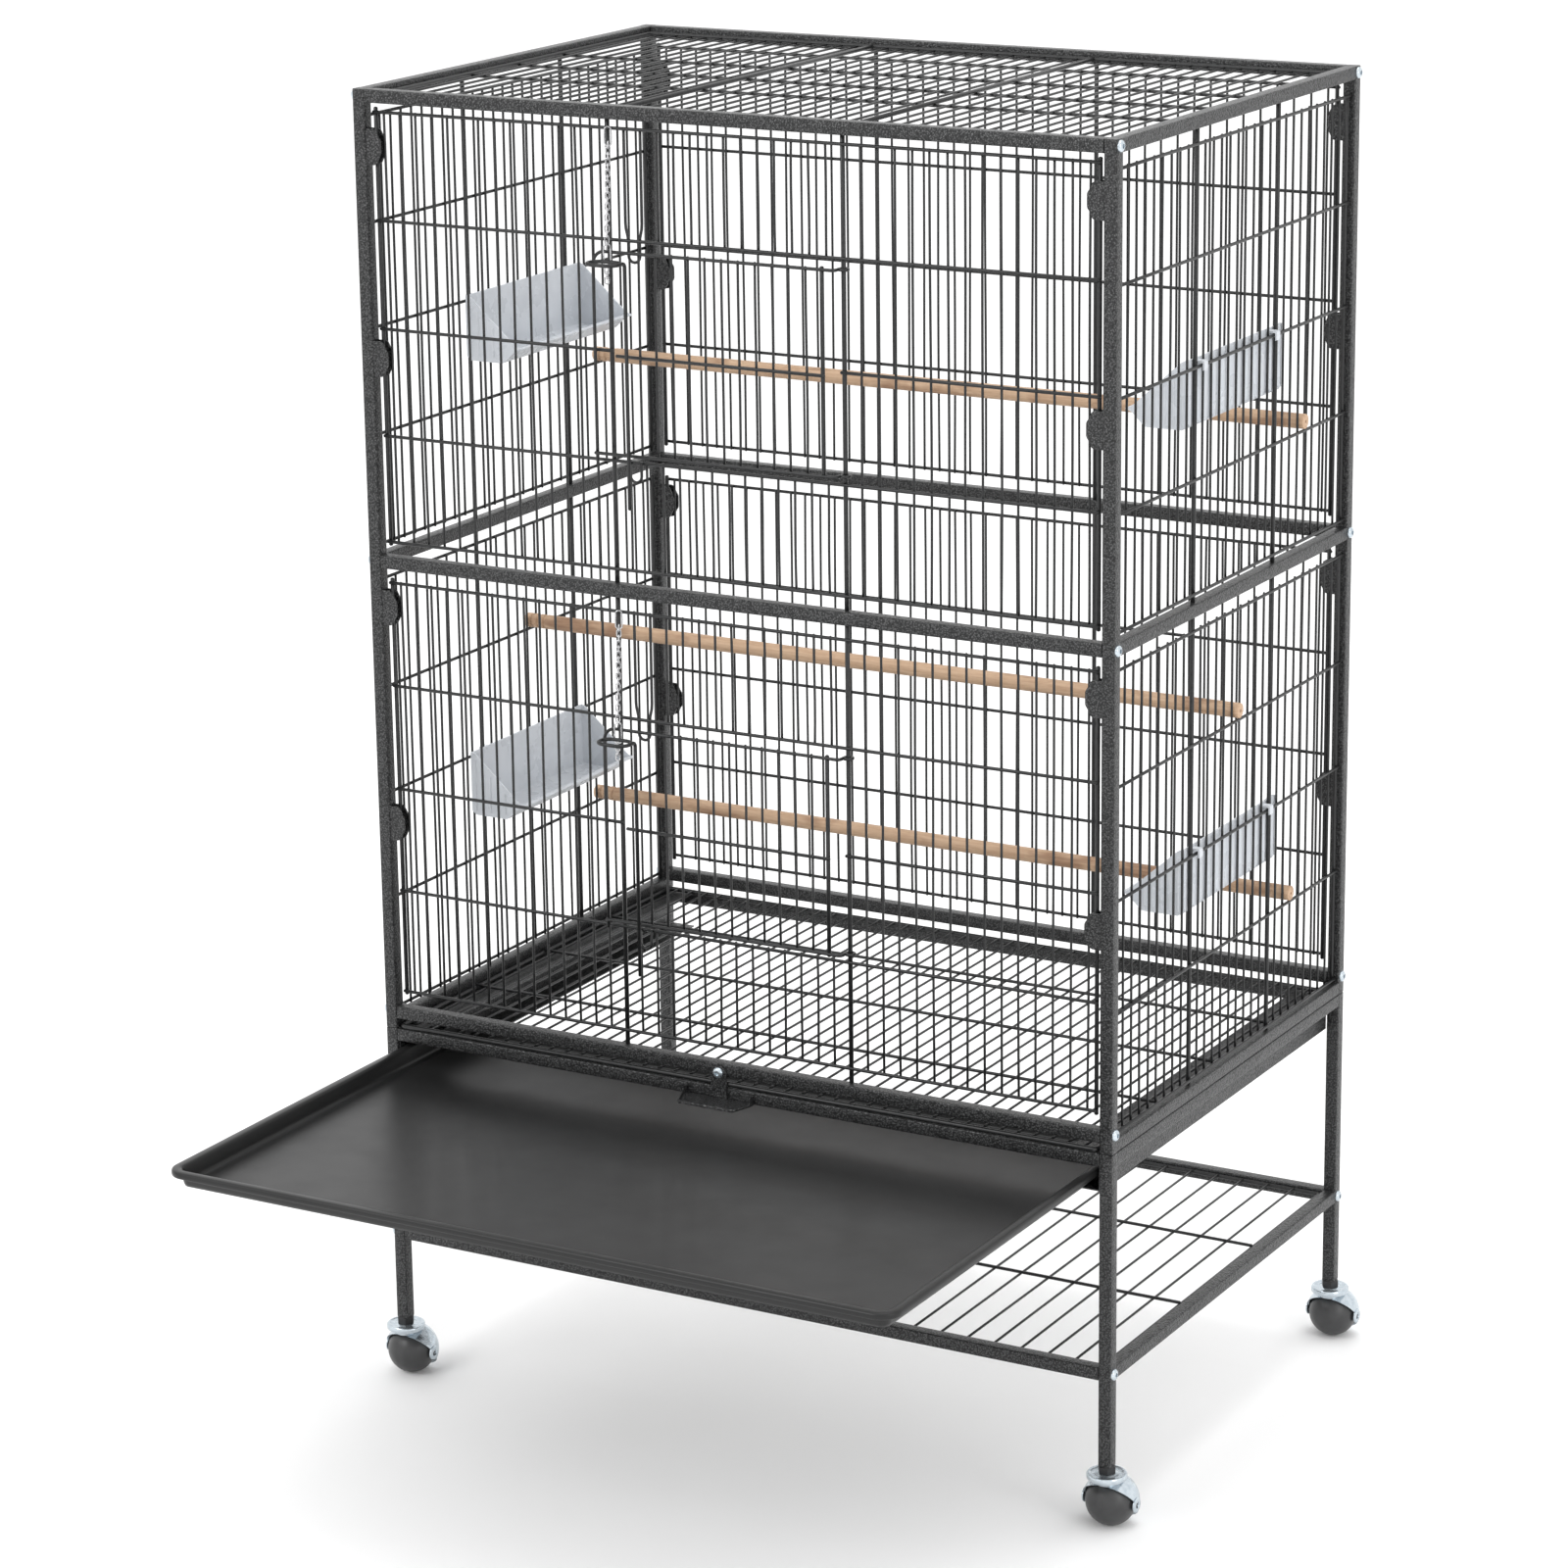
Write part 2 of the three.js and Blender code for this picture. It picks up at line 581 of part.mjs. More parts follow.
// The pulled-out tray puts the middle of the whole object in front of the cage's middle
const front = -DEPTH / 2 - TRAY_PULLED;
const back = POST_Y + CASTER_TRAIL + HOOD_OUTER;
cage.position.y = -(front + back) / 2;

export default cage;
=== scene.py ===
import math
import random

import bmesh
import bpy
from mathutils import Matrix, Vector


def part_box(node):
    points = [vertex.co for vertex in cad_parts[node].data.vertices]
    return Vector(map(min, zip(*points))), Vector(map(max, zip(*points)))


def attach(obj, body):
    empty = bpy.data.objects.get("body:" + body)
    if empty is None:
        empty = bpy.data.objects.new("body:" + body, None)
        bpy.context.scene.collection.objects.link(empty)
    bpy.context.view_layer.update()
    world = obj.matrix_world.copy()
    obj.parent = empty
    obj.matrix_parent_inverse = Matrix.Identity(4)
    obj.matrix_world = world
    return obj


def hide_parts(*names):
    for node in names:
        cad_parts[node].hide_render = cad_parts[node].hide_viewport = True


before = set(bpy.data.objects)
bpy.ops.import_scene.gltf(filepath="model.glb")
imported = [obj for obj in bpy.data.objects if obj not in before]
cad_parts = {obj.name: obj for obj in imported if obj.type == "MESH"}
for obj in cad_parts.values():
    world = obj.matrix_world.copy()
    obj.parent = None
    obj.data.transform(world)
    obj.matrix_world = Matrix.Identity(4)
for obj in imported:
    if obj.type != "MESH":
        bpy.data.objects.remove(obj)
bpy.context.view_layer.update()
MM = 0.001
rng = random.Random(7)

# Wire radii and lattice layout
THIN, CROSS, EDGE, THICK = 1.25 * MM, 1.6 * MM, 2.0 * MM, 2.2 * MM
LEVELS = [0.0, 0.103, 0.206, 0.309, 0.411]
SIDE_WIRES = {"upper": [0.852, 0.9585, 1.0615, 1.1615, 1.263],
              "lower": [0.385, 0.4975, 0.604, 0.710, 0.8175]}
WELD = THIN + CROSS - 0.2 * MM          # cross wires bite a little into the bars
PANEL_INSET = 2.65 * MM                 # plane of the front and back wires, in from the posts' middle
EDGE_OVERHANG, BAR_OVERHANG, CROSS_OVERHANG = 3.5 * MM, 0.8 * MM, 1.2 * MM
CROSS_WANDER = 0.3 * MM                 # how far a cross wire strays from straight
SAME = 1e-4                             # closer than this is the same place


# ---------------------------------------------------------------- mesh building

class Solid:
    """Collects vertices and faces for one mesh."""

    def __init__(self):
        self.verts = []
        self.faces = []

    def ring(self, points):
        start = len(self.verts)
        self.verts += [tuple(p) for p in points]
        return list(range(start, len(self.verts)))

    def bridge(self, a, b):
        n = len(a)
        for i in range(n):
            j = (i + 1) % n
            self.faces.append((a[i], a[j], b[j], b[i]))

    def loft(self, rings, closed=False, caps=True):
        ids = [self.ring(r) for r in rings]
        for a, b in zip(ids, ids[1:]):
            self.bridge(a, b)
        if closed:
            self.bridge(ids[-1], ids[0])
        elif caps:
            self.faces.append(tuple(reversed(ids[0])))
            self.faces.append(tuple(ids[-1]))

    def wire(self, points, radius, sides=10, closed=False):
        """Round wire along points, with softly rounded ends."""
        pts = [Vector(p) for p in points]
        n = len(pts)
        tangents = []
        for i in range(n):
            if closed:
                t = pts[(i + 1) % n] - pts[i - 1]
            else:
                t = pts[min(i + 1, n - 1)] - pts[max(i - 1, 0)]
            tangents.append(t.normalized())
        up = Vector((0, 0, 1)) if abs(tangents[0].z) < 0.9 else Vector((0, 1, 0))
        u = tangents[0].cross(up).normalized()
        rings = []
        for p, t in zip(pts, tangents):
            u = (u - t * u.dot(t)).normalized()
            v = t.cross(u)
            rings.append((p, u.copy(), v, radius))
        if not closed:
            tip = radius * 0.45
            p, a, b, _ = rings[0]
            rings.insert(0, (p - tangents[0] * tip, a, b, radius * 0.6))
            p, a, b, _ = rings[-1]
            rings.append((p + tangents[-1] * tip, a, b, radius * 0.6))
        made = []
        for p, a, b, r in rings:
            made.append([p + (a * math.cos(q) + b * math.sin(q)) * r
                         for q in (2 * math.pi * k / sides for k in range(sides))])
        self.loft(made, closed=closed)

    def tube(self, p0, p1, half, bend=1.3 * MM, steps=3, end=0.5 * MM):
        """Square tube with rounded corners and eased ends, between two points on an axis."""
        p0, p1 = Vector(p0), Vector(p1)
        t = (p1 - p0).normalized()
        axes = [Vector(a) for a in ((1, 0, 0), (0, 1, 0), (0, 0, 1)) if abs(Vector(a).dot(t)) < 0.5]
        a, b = axes

        def section(h, r):
            out = []
            for k, (sa, sb) in enumerate(((1, 1), (-1, 1), (-1, -1), (1, -1))):
                for s in range(steps + 1):
                    q = math.pi / 2 * (k + s / steps)
                    out.append(a * (sa * (h - r) + r * math.cos(q)) + b * (sb * (h - r) + r * math.sin(q)))
            return out

        rings = []
        for p, h in ((p0, half - end), (p0 + t * end, half), (p1 - t * end, half), (p1, half - end)):
            rings.append([p + s for s in section(h, bend)])
        self.loft(rings)

    def lathe(self, profile, place, segments=32):
        """Profile of (radius, height) turned about local Z, then put in place by a matrix."""
        ids = []
        for r, h in profile:
            if r < 1e-7:
                ids.append(self.ring([place @ Vector((0, 0, h))]))
            else:
                ids.append(self.ring([place @ Vector((r * math.cos(q), r * math.sin(q), h))
                                      for q in (2 * math.pi * k / segments for k in range(segments))]))
        for a, b in zip(ids, ids[1:]):
            if len(a) == 1 and len(b) == 1:
                continue
            if len(a) == 1:
                self.faces += [(a[0], b[(i + 1) % segments], b[i]) for i in range(segments)]
            elif len(b) == 1:
                self.faces += [(a[i], a[(i + 1) % segments], b[0]) for i in range(segments)]
            else:
                self.bridge(a, b)

    def prism(self, outline, place, depth):
        """Outline of (u, v) given a depth along local Z, then put in place by a matrix."""
        low = [place @ Vector((u, v, 0)) for u, v in outline]
        high = [place @ Vector((u, v, depth)) for u, v in outline]
        self.loft([low, high])


def piece(name, solid, material, body, nodes=(), smooth=35, bevel=0.0):
    """Turns a Solid into an object that rides on a body and stands for some CAD nodes."""
    mesh = bpy.data.meshes.new(name)
    mesh.from_pydata(solid.verts, [], solid.faces)
    mesh.update()
    obj = bpy.data.objects.new(name, mesh)
    bpy.context.scene.collection.objects.link(obj)
    bm = bmesh.new()
    bm.from_mesh(mesh)
    bmesh.ops.recalc_face_normals(bm, faces=bm.faces)
    bm.to_mesh(mesh)
    bm.free()
    mesh.shade_smooth()
    mesh.set_sharp_from_angle(angle=math.radians(smooth))
    mesh.materials.append(material)
    if bevel:
        mod = obj.modifiers.new("Bevel", "BEVEL")
        mod.width = bevel
        mod.segments = 3
        mod.limit_method = "ANGLE"
        mod.angle_limit = math.radians(40)
    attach(obj, body)
    if nodes:
        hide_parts(*nodes)
    return obj


def at(x, y, z):
    return Matrix.Translation((x, y, z))


def arc(centre, radius, start, stop, steps, z=0.0):
    """Points of a level arc, angles in degrees."""
    return [(centre[0] + radius * math.cos(math.radians(start + (stop - start) * k / steps)),
             centre[1] + radius * math.sin(math.radians(start + (stop - start) * k / steps)), z)
            for k in range(steps + 1)]


# ---------------------------------------------------------------- materials

def new_material(name):
    mat = bpy.data.materials.new(name)
    mat.use_nodes = True
    tree = mat.node_tree
    shader = tree.nodes["Principled BSDF"]
    coords = tree.nodes.new("ShaderNodeTexCoord")
    return mat, tree, shader, coords.outputs["Object"]


def noise(tree, coords, scale, detail=3.0, rough=0.55):
    n = tree.nodes.new("ShaderNodeTexNoise")
    n.inputs["Scale"].default_value = scale
    n.inputs["Detail"].default_value = detail
    n.inputs["Roughness"].default_value = rough
    tree.links.new(coords, n.inputs["Vector"])
    return n.outputs["Fac"]


def ramp(tree, value, stops):
    r = tree.nodes.new("ShaderNodeValToRGB")
    els = r.color_ramp.elements
    els[0].position, els[0].color = stops[0][0], (*stops[0][1], 1)
    els[1].position, els[1].color = stops[-1][0], (*stops[-1][1], 1)
    for pos, col in stops[1:-1]:
        e = els.new(pos)
        e.color = (*col, 1)
    tree.links.new(value, r.inputs["Fac"])
    return r.outputs["Color"]


def bump(tree, height, strength, distance, shader):
    b = tree.nodes.new("ShaderNodeBump")
    b.inputs["Strength"].default_value = strength
    b.inputs["Distance"].default_value = distance
    tree.links.new(height, b.inputs["Height"])
    tree.links.new(b.outputs["Normal"], shader.inputs["Normal"])


def spread(tree, value, low, high):
    m = tree.nodes.new("ShaderNodeMapRange")
    m.inputs["To Min"].default_value = low
    m.inputs["To Max"].default_value = high
    tree.links.new(value, m.inputs["Value"])
    return m.outputs["Result"]


def hammered_paint():
    mat, tree, shader, co = new_material("hammered_grey")
    cells = tree.nodes.new("ShaderNodeTexVoronoi")
    cells.feature = "SMOOTH_F1"
    cells.inputs["Scale"].default_value = 620
    cells.inputs["Smoothness"].default_value = 0.6
    wander = tree.nodes.new("ShaderNodeVectorMath")
    wander.operation = "ADD"
    fine = tree.nodes.new("ShaderNodeTexNoise")
    fine.inputs["Scale"].default_value = 420
    scale = tree.nodes.new("ShaderNodeVectorMath")
    scale.operation = "SCALE"
    scale.inputs["Scale"].default_value = 0.0012
    tree.links.new(co, fine.inputs["Vector"])
    tree.links.new(fine.outputs["Color"], scale.inputs[0])
    tree.links.new(co, wander.inputs[0])
    tree.links.new(scale.outputs["Vector"], wander.inputs[1])
    tree.links.new(wander.outputs["Vector"], cells.inputs["Vector"])
    colour = ramp(tree, cells.outputs["Distance"],
                  [(0.12, (0.120, 0.121, 0.122)), (0.42, (0.026, 0.0265, 0.027)),
                   (0.8, (0.007, 0.0072, 0.0075))])
    tree.links.new(colour, shader.inputs["Base Color"])
    tree.links.new(spread(tree, cells.outputs["Distance"], 0.22, 0.46), shader.inputs["Roughness"])
    shader.inputs["Metallic"].default_value = 0.3
    shader.inputs["Specular IOR Level"].default_value = 0.42
    bump(tree, cells.outputs["Distance"], 0.8, 0.0007, shader)
    return mat


def wire_coat(name, low, high, rough):
    mat, tree, shader, co = new_material(name)
    n = noise(tree, co, 300)
    tree.links.new(ramp(tree, n, [(0.3, low), (0.7, high)]), shader.inputs["Base Color"])
    tree.links.new(spread(tree, n, rough - 0.08, rough + 0.1), shader.inputs["Roughness"])
    shader.inputs["Metallic"].default_value = 0.4
    bump(tree, noise(tree, co, 900, 2), 0.25, 0.0002, shader)
    return mat


def tray_paint():
    mat, tree, shader, co = new_material("tray_grey")
    broad = noise(tree, co, 9, 4)
    tree.links.new(ramp(tree, broad, [(0.3, (0.011, 0.0111, 0.0112)), (0.7, (0.015, 0.0151, 0.0152))]),
                   shader.inputs["Base Color"])
    tree.links.new(spread(tree, noise(tree, co, 26, 5), 0.24, 0.40), shader.inputs["Roughness"])
    shader.inputs["Metallic"].default_value = 0.1
    shader.inputs["Specular IOR Level"].default_value = 0.34
    bump(tree, noise(tree, co, 1100, 2), 0.22, 0.0002, shader)
    return mat


def plating(name, low, high, rough):
    mat, tree, shader, co = new_material(name)
    n = noise(tree, co, 160, 4)
    tree.links.new(ramp(tree, n, [(0.3, low), (0.7, high)]), shader.inputs["Base Color"])
    tree.links.new(spread(tree, n, rough - 0.06, rough + 0.08), shader.inputs["Roughness"])
    shader.inputs["Metallic"].default_value = 0.9
    bump(tree, noise(tree, co, 700, 2), 0.12, 0.0002, shader)
    return mat


def dark_plastic(name, low, high, rough):
    mat, tree, shader, co = new_material(name)
    n = noise(tree, co, 90, 4)
    tree.links.new(ramp(tree, n, [(0.3, low), (0.7, high)]), shader.inputs["Base Color"])
    tree.links.new(spread(tree, n, rough - 0.05, rough + 0.08), shader.inputs["Roughness"])
    bump(tree, noise(tree, co, 1400, 2), 0.15, 0.0001, shader)
    return mat


def milky_plastic():
    mat, tree, shader, co = new_material("milky_plastic")
    n = noise(tree, co, 40, 3)
    tree.links.new(ramp(tree, n, [(0.3, (0.56, 0.585, 0.62)), (0.7, (0.62, 0.645, 0.68))]),
                   shader.inputs["Base Color"])
    tree.links.new(spread(tree, n, 0.22, 0.34), shader.inputs["Roughness"])
    shader.inputs["Transmission Weight"].default_value = 0.06
    shader.inputs["IOR"].default_value = 1.3
    bump(tree, noise(tree, co, 260, 2), 0.05, 0.0001, shader)
    return mat


def dowel_wood():
    mat, tree, shader, co = new_material("dowel_wood")
    stretch = tree.nodes.new("ShaderNodeMapping")
    stretch.inputs["Scale"].default_value = (0.06, 1.0, 1.0)
    tree.links.new(co, stretch.inputs["Vector"])
    grain = noise(tree, stretch.outputs["Vector"], 420, 6, 0.65)
    patch_map = tree.nodes.new("ShaderNodeMapping")
    patch_map.inputs["Scale"].default_value = (0.45, 1.0, 1.0)
    tree.links.new(co, patch_map.inputs["Vector"])
    patches = noise(tree, patch_map.outputs["Vector"], 34, 3)
    light = ramp(tree, grain, [(0.3, (0.40, 0.25, 0.15)), (0.7, (0.56, 0.39, 0.26))])
    dark = ramp(tree, grain, [(0.3, (0.22, 0.12, 0.065)), (0.7, (0.38, 0.23, 0.14))])
    mix = tree.nodes.new("ShaderNodeMix")
    mix.data_type = "RGBA"
    tree.links.new(ramp(tree, patches, [(0.52, (0, 0, 0)), (0.66, (1, 1, 1))]), mix.inputs["Factor"])
    tree.links.new(light, mix.inputs["A"])
    tree.links.new(dark, mix.inputs["B"])
    tree.links.new(mix.outputs["Result"], shader.inputs["Base Color"])
    tree.links.new(spread(tree, grain, 0.5, 0.7), shader.inputs["Roughness"])
    bump(tree, grain, 0.3, 0.0004, shader)
    return mat


def plain_floor():
    mat, tree, shader, co = new_material("studio_floor")
    n = noise(tree, co, 2, 2)
    tree.links.new(ramp(tree, n, [(0.3, (0.955, 0.955, 0.955)), (0.7, (0.965, 0.965, 0.965))]),
                   shader.inputs["Base Color"])
    shader.inputs["Roughness"].default_value = 0.8
    return mat


FRAME = hammered_paint()
WIRE = wire_coat("wire_coat", (0.012, 0.0125, 0.013), (0.026, 0.0265, 0.027), 0.3)
TRAY = tray_paint()
ZINC = plating("zinc", (0.46, 0.52, 0.57), (0.60, 0.66, 0.70), 0.24)
CHAIN = plating("bright_chain", (0.42, 0.42, 0.43), (0.62, 0.62, 0.63), 0.2)
BALL = dark_plastic("ball_plastic", (0.030, 0.0303, 0.031), (0.040, 0.0405, 0.0415), 0.36)
BLACK = dark_plastic("black_fitting", (0.010, 0.010, 0.011), (0.020, 0.020, 0.021), 0.35)
MILKY = milky_plastic()
WOOD = dowel_wood()

# ---------------------------------------------------------------- frame

right_lo, right_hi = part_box("right_side_frame")
leg_lo, leg_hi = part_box("left_leg_frame")
TUBE = leg_hi[0] - leg_lo[0]
HALF = TUBE / 2
POST_X = right_hi[0] - HALF
FRONT_Y = right_lo[1] + HALF
BACK_Y = right_hi[1] - HALF
MID_Y = (FRONT_Y + BACK_Y) / 2
TOP_Z = right_hi[2]
SEAM_Z = right_lo[2]
FOOT_Z = leg_lo[2]
END_Y = {"front": FRONT_Y, "back": BACK_Y}


def rail_z(node):
    lo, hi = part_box(node)
    return (lo[2] + hi[2]) / 2


RAIL_Z = {level: rail_z(level + "_front_rail") for level in ("top", "middle", "bottom", "stand", "shelf")}


def clip_outline(reach, half):
    """Half-round clip plate, flat against the post."""
    pts = [(-0.001, -half), (reach * 0.45, -half)]
    for k in range(9):
        q = math.radians(-90 + k * 45 / 8)
        pts.append((reach * 0.45 + 0.0055 * math.cos(q), -half + 0.0055 + 0.0055 * math.sin(q)))
    for k in range(9):
        q = math.radians(-45 + k * 45 / 8)
        pts.append((reach - 0.006 + 0.006 * math.cos(q), -half + 0.0125 + 0.006 * math.sin(q)))
    pts += [(u, -v) for u, v in reversed(pts)]
    return pts


CLIP_HEIGHTS = [1.236, 1.035, 0.793, 0.578]
CLIP_REACH, CLIP_HALF, CLIP_THICK = 0.0165, 0.017, 0.0014
CLIP_OFFSETS = (-0.0041, 0.0045)        # the two plates of a pair, one on each side of the panel's wires
RAIL_BITE = 0.0008                      # how far a welded rail runs into its post
RAIL_HALF = HALF - 0.00005              # a hair thinner than the post, so that no faces lie in one plane
RAIL_Y0, RAIL_Y1 = FRONT_Y + HALF - RAIL_BITE, BACK_Y - HALF + RAIL_BITE
RUNNER_THICK, RUNNER_STUB = 0.0012, 0.023
for side_name, s in (("left", -1), ("right", 1)):
    x = s * POST_X
    body = Solid()
    for y in (FRONT_Y, BACK_Y):
        body.tube((x, y, SEAM_Z), (x, y, TOP_Z), HALF)
    for z in (RAIL_Z["top"], RAIL_Z["middle"], SEAM_Z + HALF):
        body.tube((x, RAIL_Y0, z), (x, RAIL_Y1, z), RAIL_HALF)
    for y, e in ((FRONT_Y, -1), (BACK_Y, 1)):
        for z in CLIP_HEIGHTS:
            turn = Matrix(((s, 0, 0, x - s * HALF), (0, 0, 1, 0), (0, 1, 0, z), (0, 0, 0, 1)))
            for offset in CLIP_OFFSETS:
                place = Matrix.Translation((0, y + e * offset - CLIP_THICK / 2, 0)) @ turn
                outline = [(-u, v) for u, v in clip_outline(CLIP_REACH, CLIP_HALF)]
                body.prism(outline, place, CLIP_THICK)
    piece(f"{side_name}_side_frame_look", body, FRAME, "cage", [f"{side_name}_side_frame"])

    legs = Solid()
    for y in (FRONT_Y, BACK_Y):
        legs.tube((x, y, FOOT_Z), (x, y, SEAM_Z - 0.0004), HALF)
    for z in (RAIL_Z["stand"], RAIL_Z["shelf"]):
        legs.tube((x, RAIL_Y0, z), (x, RAIL_Y1, z), RAIL_HALF)
    piece(f"{side_name}_leg_frame_look", legs, FRAME, "cage", [f"{side_name}_leg_frame"])

    runner = Solid()
    lo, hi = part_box(f"{side_name}_tray_runner")
    web, lip = (hi[0], lo[0]) if s > 0 else (lo[0], hi[0])
    t = RUNNER_THICK
    profile = [(web, lo[2]), (web, hi[2]), (lip, hi[2]), (lip, hi[2] - t), (web - s * t, hi[2] - t),
               (web - s * t, lo[2] + t), (lip, lo[2] + t), (lip, lo[2])]
    y_front = FRONT_Y + HALF + 0.0003
    runner.loft([[(u, y, v) for u, v in profile] for y in (y_front, hi[1])])
    stub = lo[2] + RUNNER_STUB
    low = [(web, lo[2]), (web, stub), (web - s * t, stub), (web - s * t, lo[2] + t), (lip, lo[2] + t),
           (lip, lo[2])]
    runner.loft([[(u, y, v) for u, v in low] for y in (lo[1], y_front)])
    piece(f"{side_name}_runner_look", runner, FRAME, "cage", [f"{side_name}_tray_runner"])

for level, z in RAIL_Z.items():
    for face, y in END_Y.items():
        node = f"{level}_{face}_rail"
        lo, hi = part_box(node)
        rail = Solid()
        rail.tube((lo[0], y, z), (hi[0], y, z), HALF - 0.00003, end=0.0002)
        piece(f"{node}_look", rail, FRAME, "cage", [node])


# Button-head screws through the posts into the rails' ends
def button_screw(solid, place):
    solid.lathe([(0.0, -0.001), (0.0032, -0.001), (0.0055, 0.0), (0.0055, 0.0007), (0.0051, 0.0018),
                 (0.0041, 0.0027), (0.0026, 0.0031), (0.0021, 0.0031), (0.0019, 0.0013), (0.0, 0.0011)],
                place, 24)


screws = Solid()
for s in (-1, 1):
    for y in (FRONT_Y, BACK_Y):
        for z in (RAIL_Z["top"], RAIL_Z["middle"], RAIL_Z["bottom"] + 0.0015, RAIL_Z["shelf"]):
            place = at(s * (POST_X + HALF), y, z) @ Matrix.Rotation(s * math.pi / 2, 4, "Y")
            button_screw(screws, place)
piece("frame_screws", screws, ZINC, "cage")


# ---------------------------------------------------------------- wire lattices

def positions(half, spaces):
    return [(2 * half * k) / spaces - half for k in range(1, spaces)]


def bowed(p0, p1, across, amount, steps=8):
    """Nearly straight bar with a slight bow and lean, as drawn wire has."""
    p0, p1 = Vector(p0), Vector(p1)
    lean = [rng.uniform(-amount, amount) * 0.5 for _ in range(2)]
    mid = rng.uniform(-amount, amount)
    wave = rng.uniform(-amount, amount) * 0.5
    out = []
    for k in range(steps + 1):
        t = k / steps
        shift = (lean[0] * (1 - t) + lean[1] * t + mid * math.sin(math.pi * t)
                 + wave * math.sin(2 * math.pi * t))
        out.append(p0.lerp(p1, t) + Vector(across) * shift)
    return out


FRONT_HALF, FRONT_PITCH = 0.375, 0.01742
FRONT_THICK = 7 * FRONT_PITCH
SIDE_HALF, SIDE_SPACES = 0.248, 28
SIDE_PITCH = 2 * SIDE_HALF / SIDE_SPACES
SIDE_THICK = 5 * SIDE_PITCH
front_bars = [k * FRONT_PITCH for k in range(-21, 22)]
side_bars = positions(SIDE_HALF, SIDE_SPACES)
BOW = 0.0008
KEEPER_BARS = (-6, -5)                  # the two bars over a doorway that the latch's keeper stands in for
DOOR_STUB = 0.0014                      # bars at a doorway end this far past its cross wires


def u_bend(centre, radius, z):
    """Lower half circle from left to right, without its two ends."""
    return [(centre - radius * math.cos(q), z - radius * math.sin(q))
            for q in (math.pi * k / 8 for k in range(1, 8))]


def plain_panel(cell, face):
    node = f"{cell}_{face}_panel"
    lo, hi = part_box(node)
    solid = Solid()
    if face == "back":
        outward, plane, half, bars, thick = 1, BACK_Y - PANEL_INSET, FRONT_HALF, front_bars, FRONT_THICK
        levels = [PANEL_Z[cell] + level for level in LEVELS]
    else:
        outward = 1 if face == "right" else -1
        plane, half, bars, thick = outward * POST_X, SIDE_HALF, side_bars, SIDE_THICK
        levels = SIDE_WIRES[cell]
    z0, z1 = levels[0], levels[4]

    def spot(along, off, z):
        if face == "back":
            return (along, plane + off, z)
        return (plane + off, MID_Y + along, z)

    across = (1, 0, 0) if face == "back" else (0, 1, 0)
    for edge in (-half, half):
        solid.wire([spot(edge, 0, z0 - EDGE_OVERHANG), spot(edge, 0, z1 + EDGE_OVERHANG)], EDGE)
    for u in bars:
        if abs(abs(u) - thick) < SAME:
            solid.wire([spot(u, 0, lo[2]), spot(u, 0, hi[2])], THICK)
        else:
            ends = spot(u, 0, z0 - BAR_OVERHANG), spot(u, 0, z1 + BAR_OVERHANG)
            solid.wire(bowed(*ends, across, BOW), THIN, 8)
    for z in levels:
        reach = half + CROSS_OVERHANG
        off = outward * WELD
        ends = spot(-reach, off, z), spot(reach, off, z)
        solid.wire(bowed(*ends, (0, 0, 1), CROSS_WANDER, 6), CROSS)
    piece(f"{node}_wires", solid, WIRE, "cage", [node], 60)


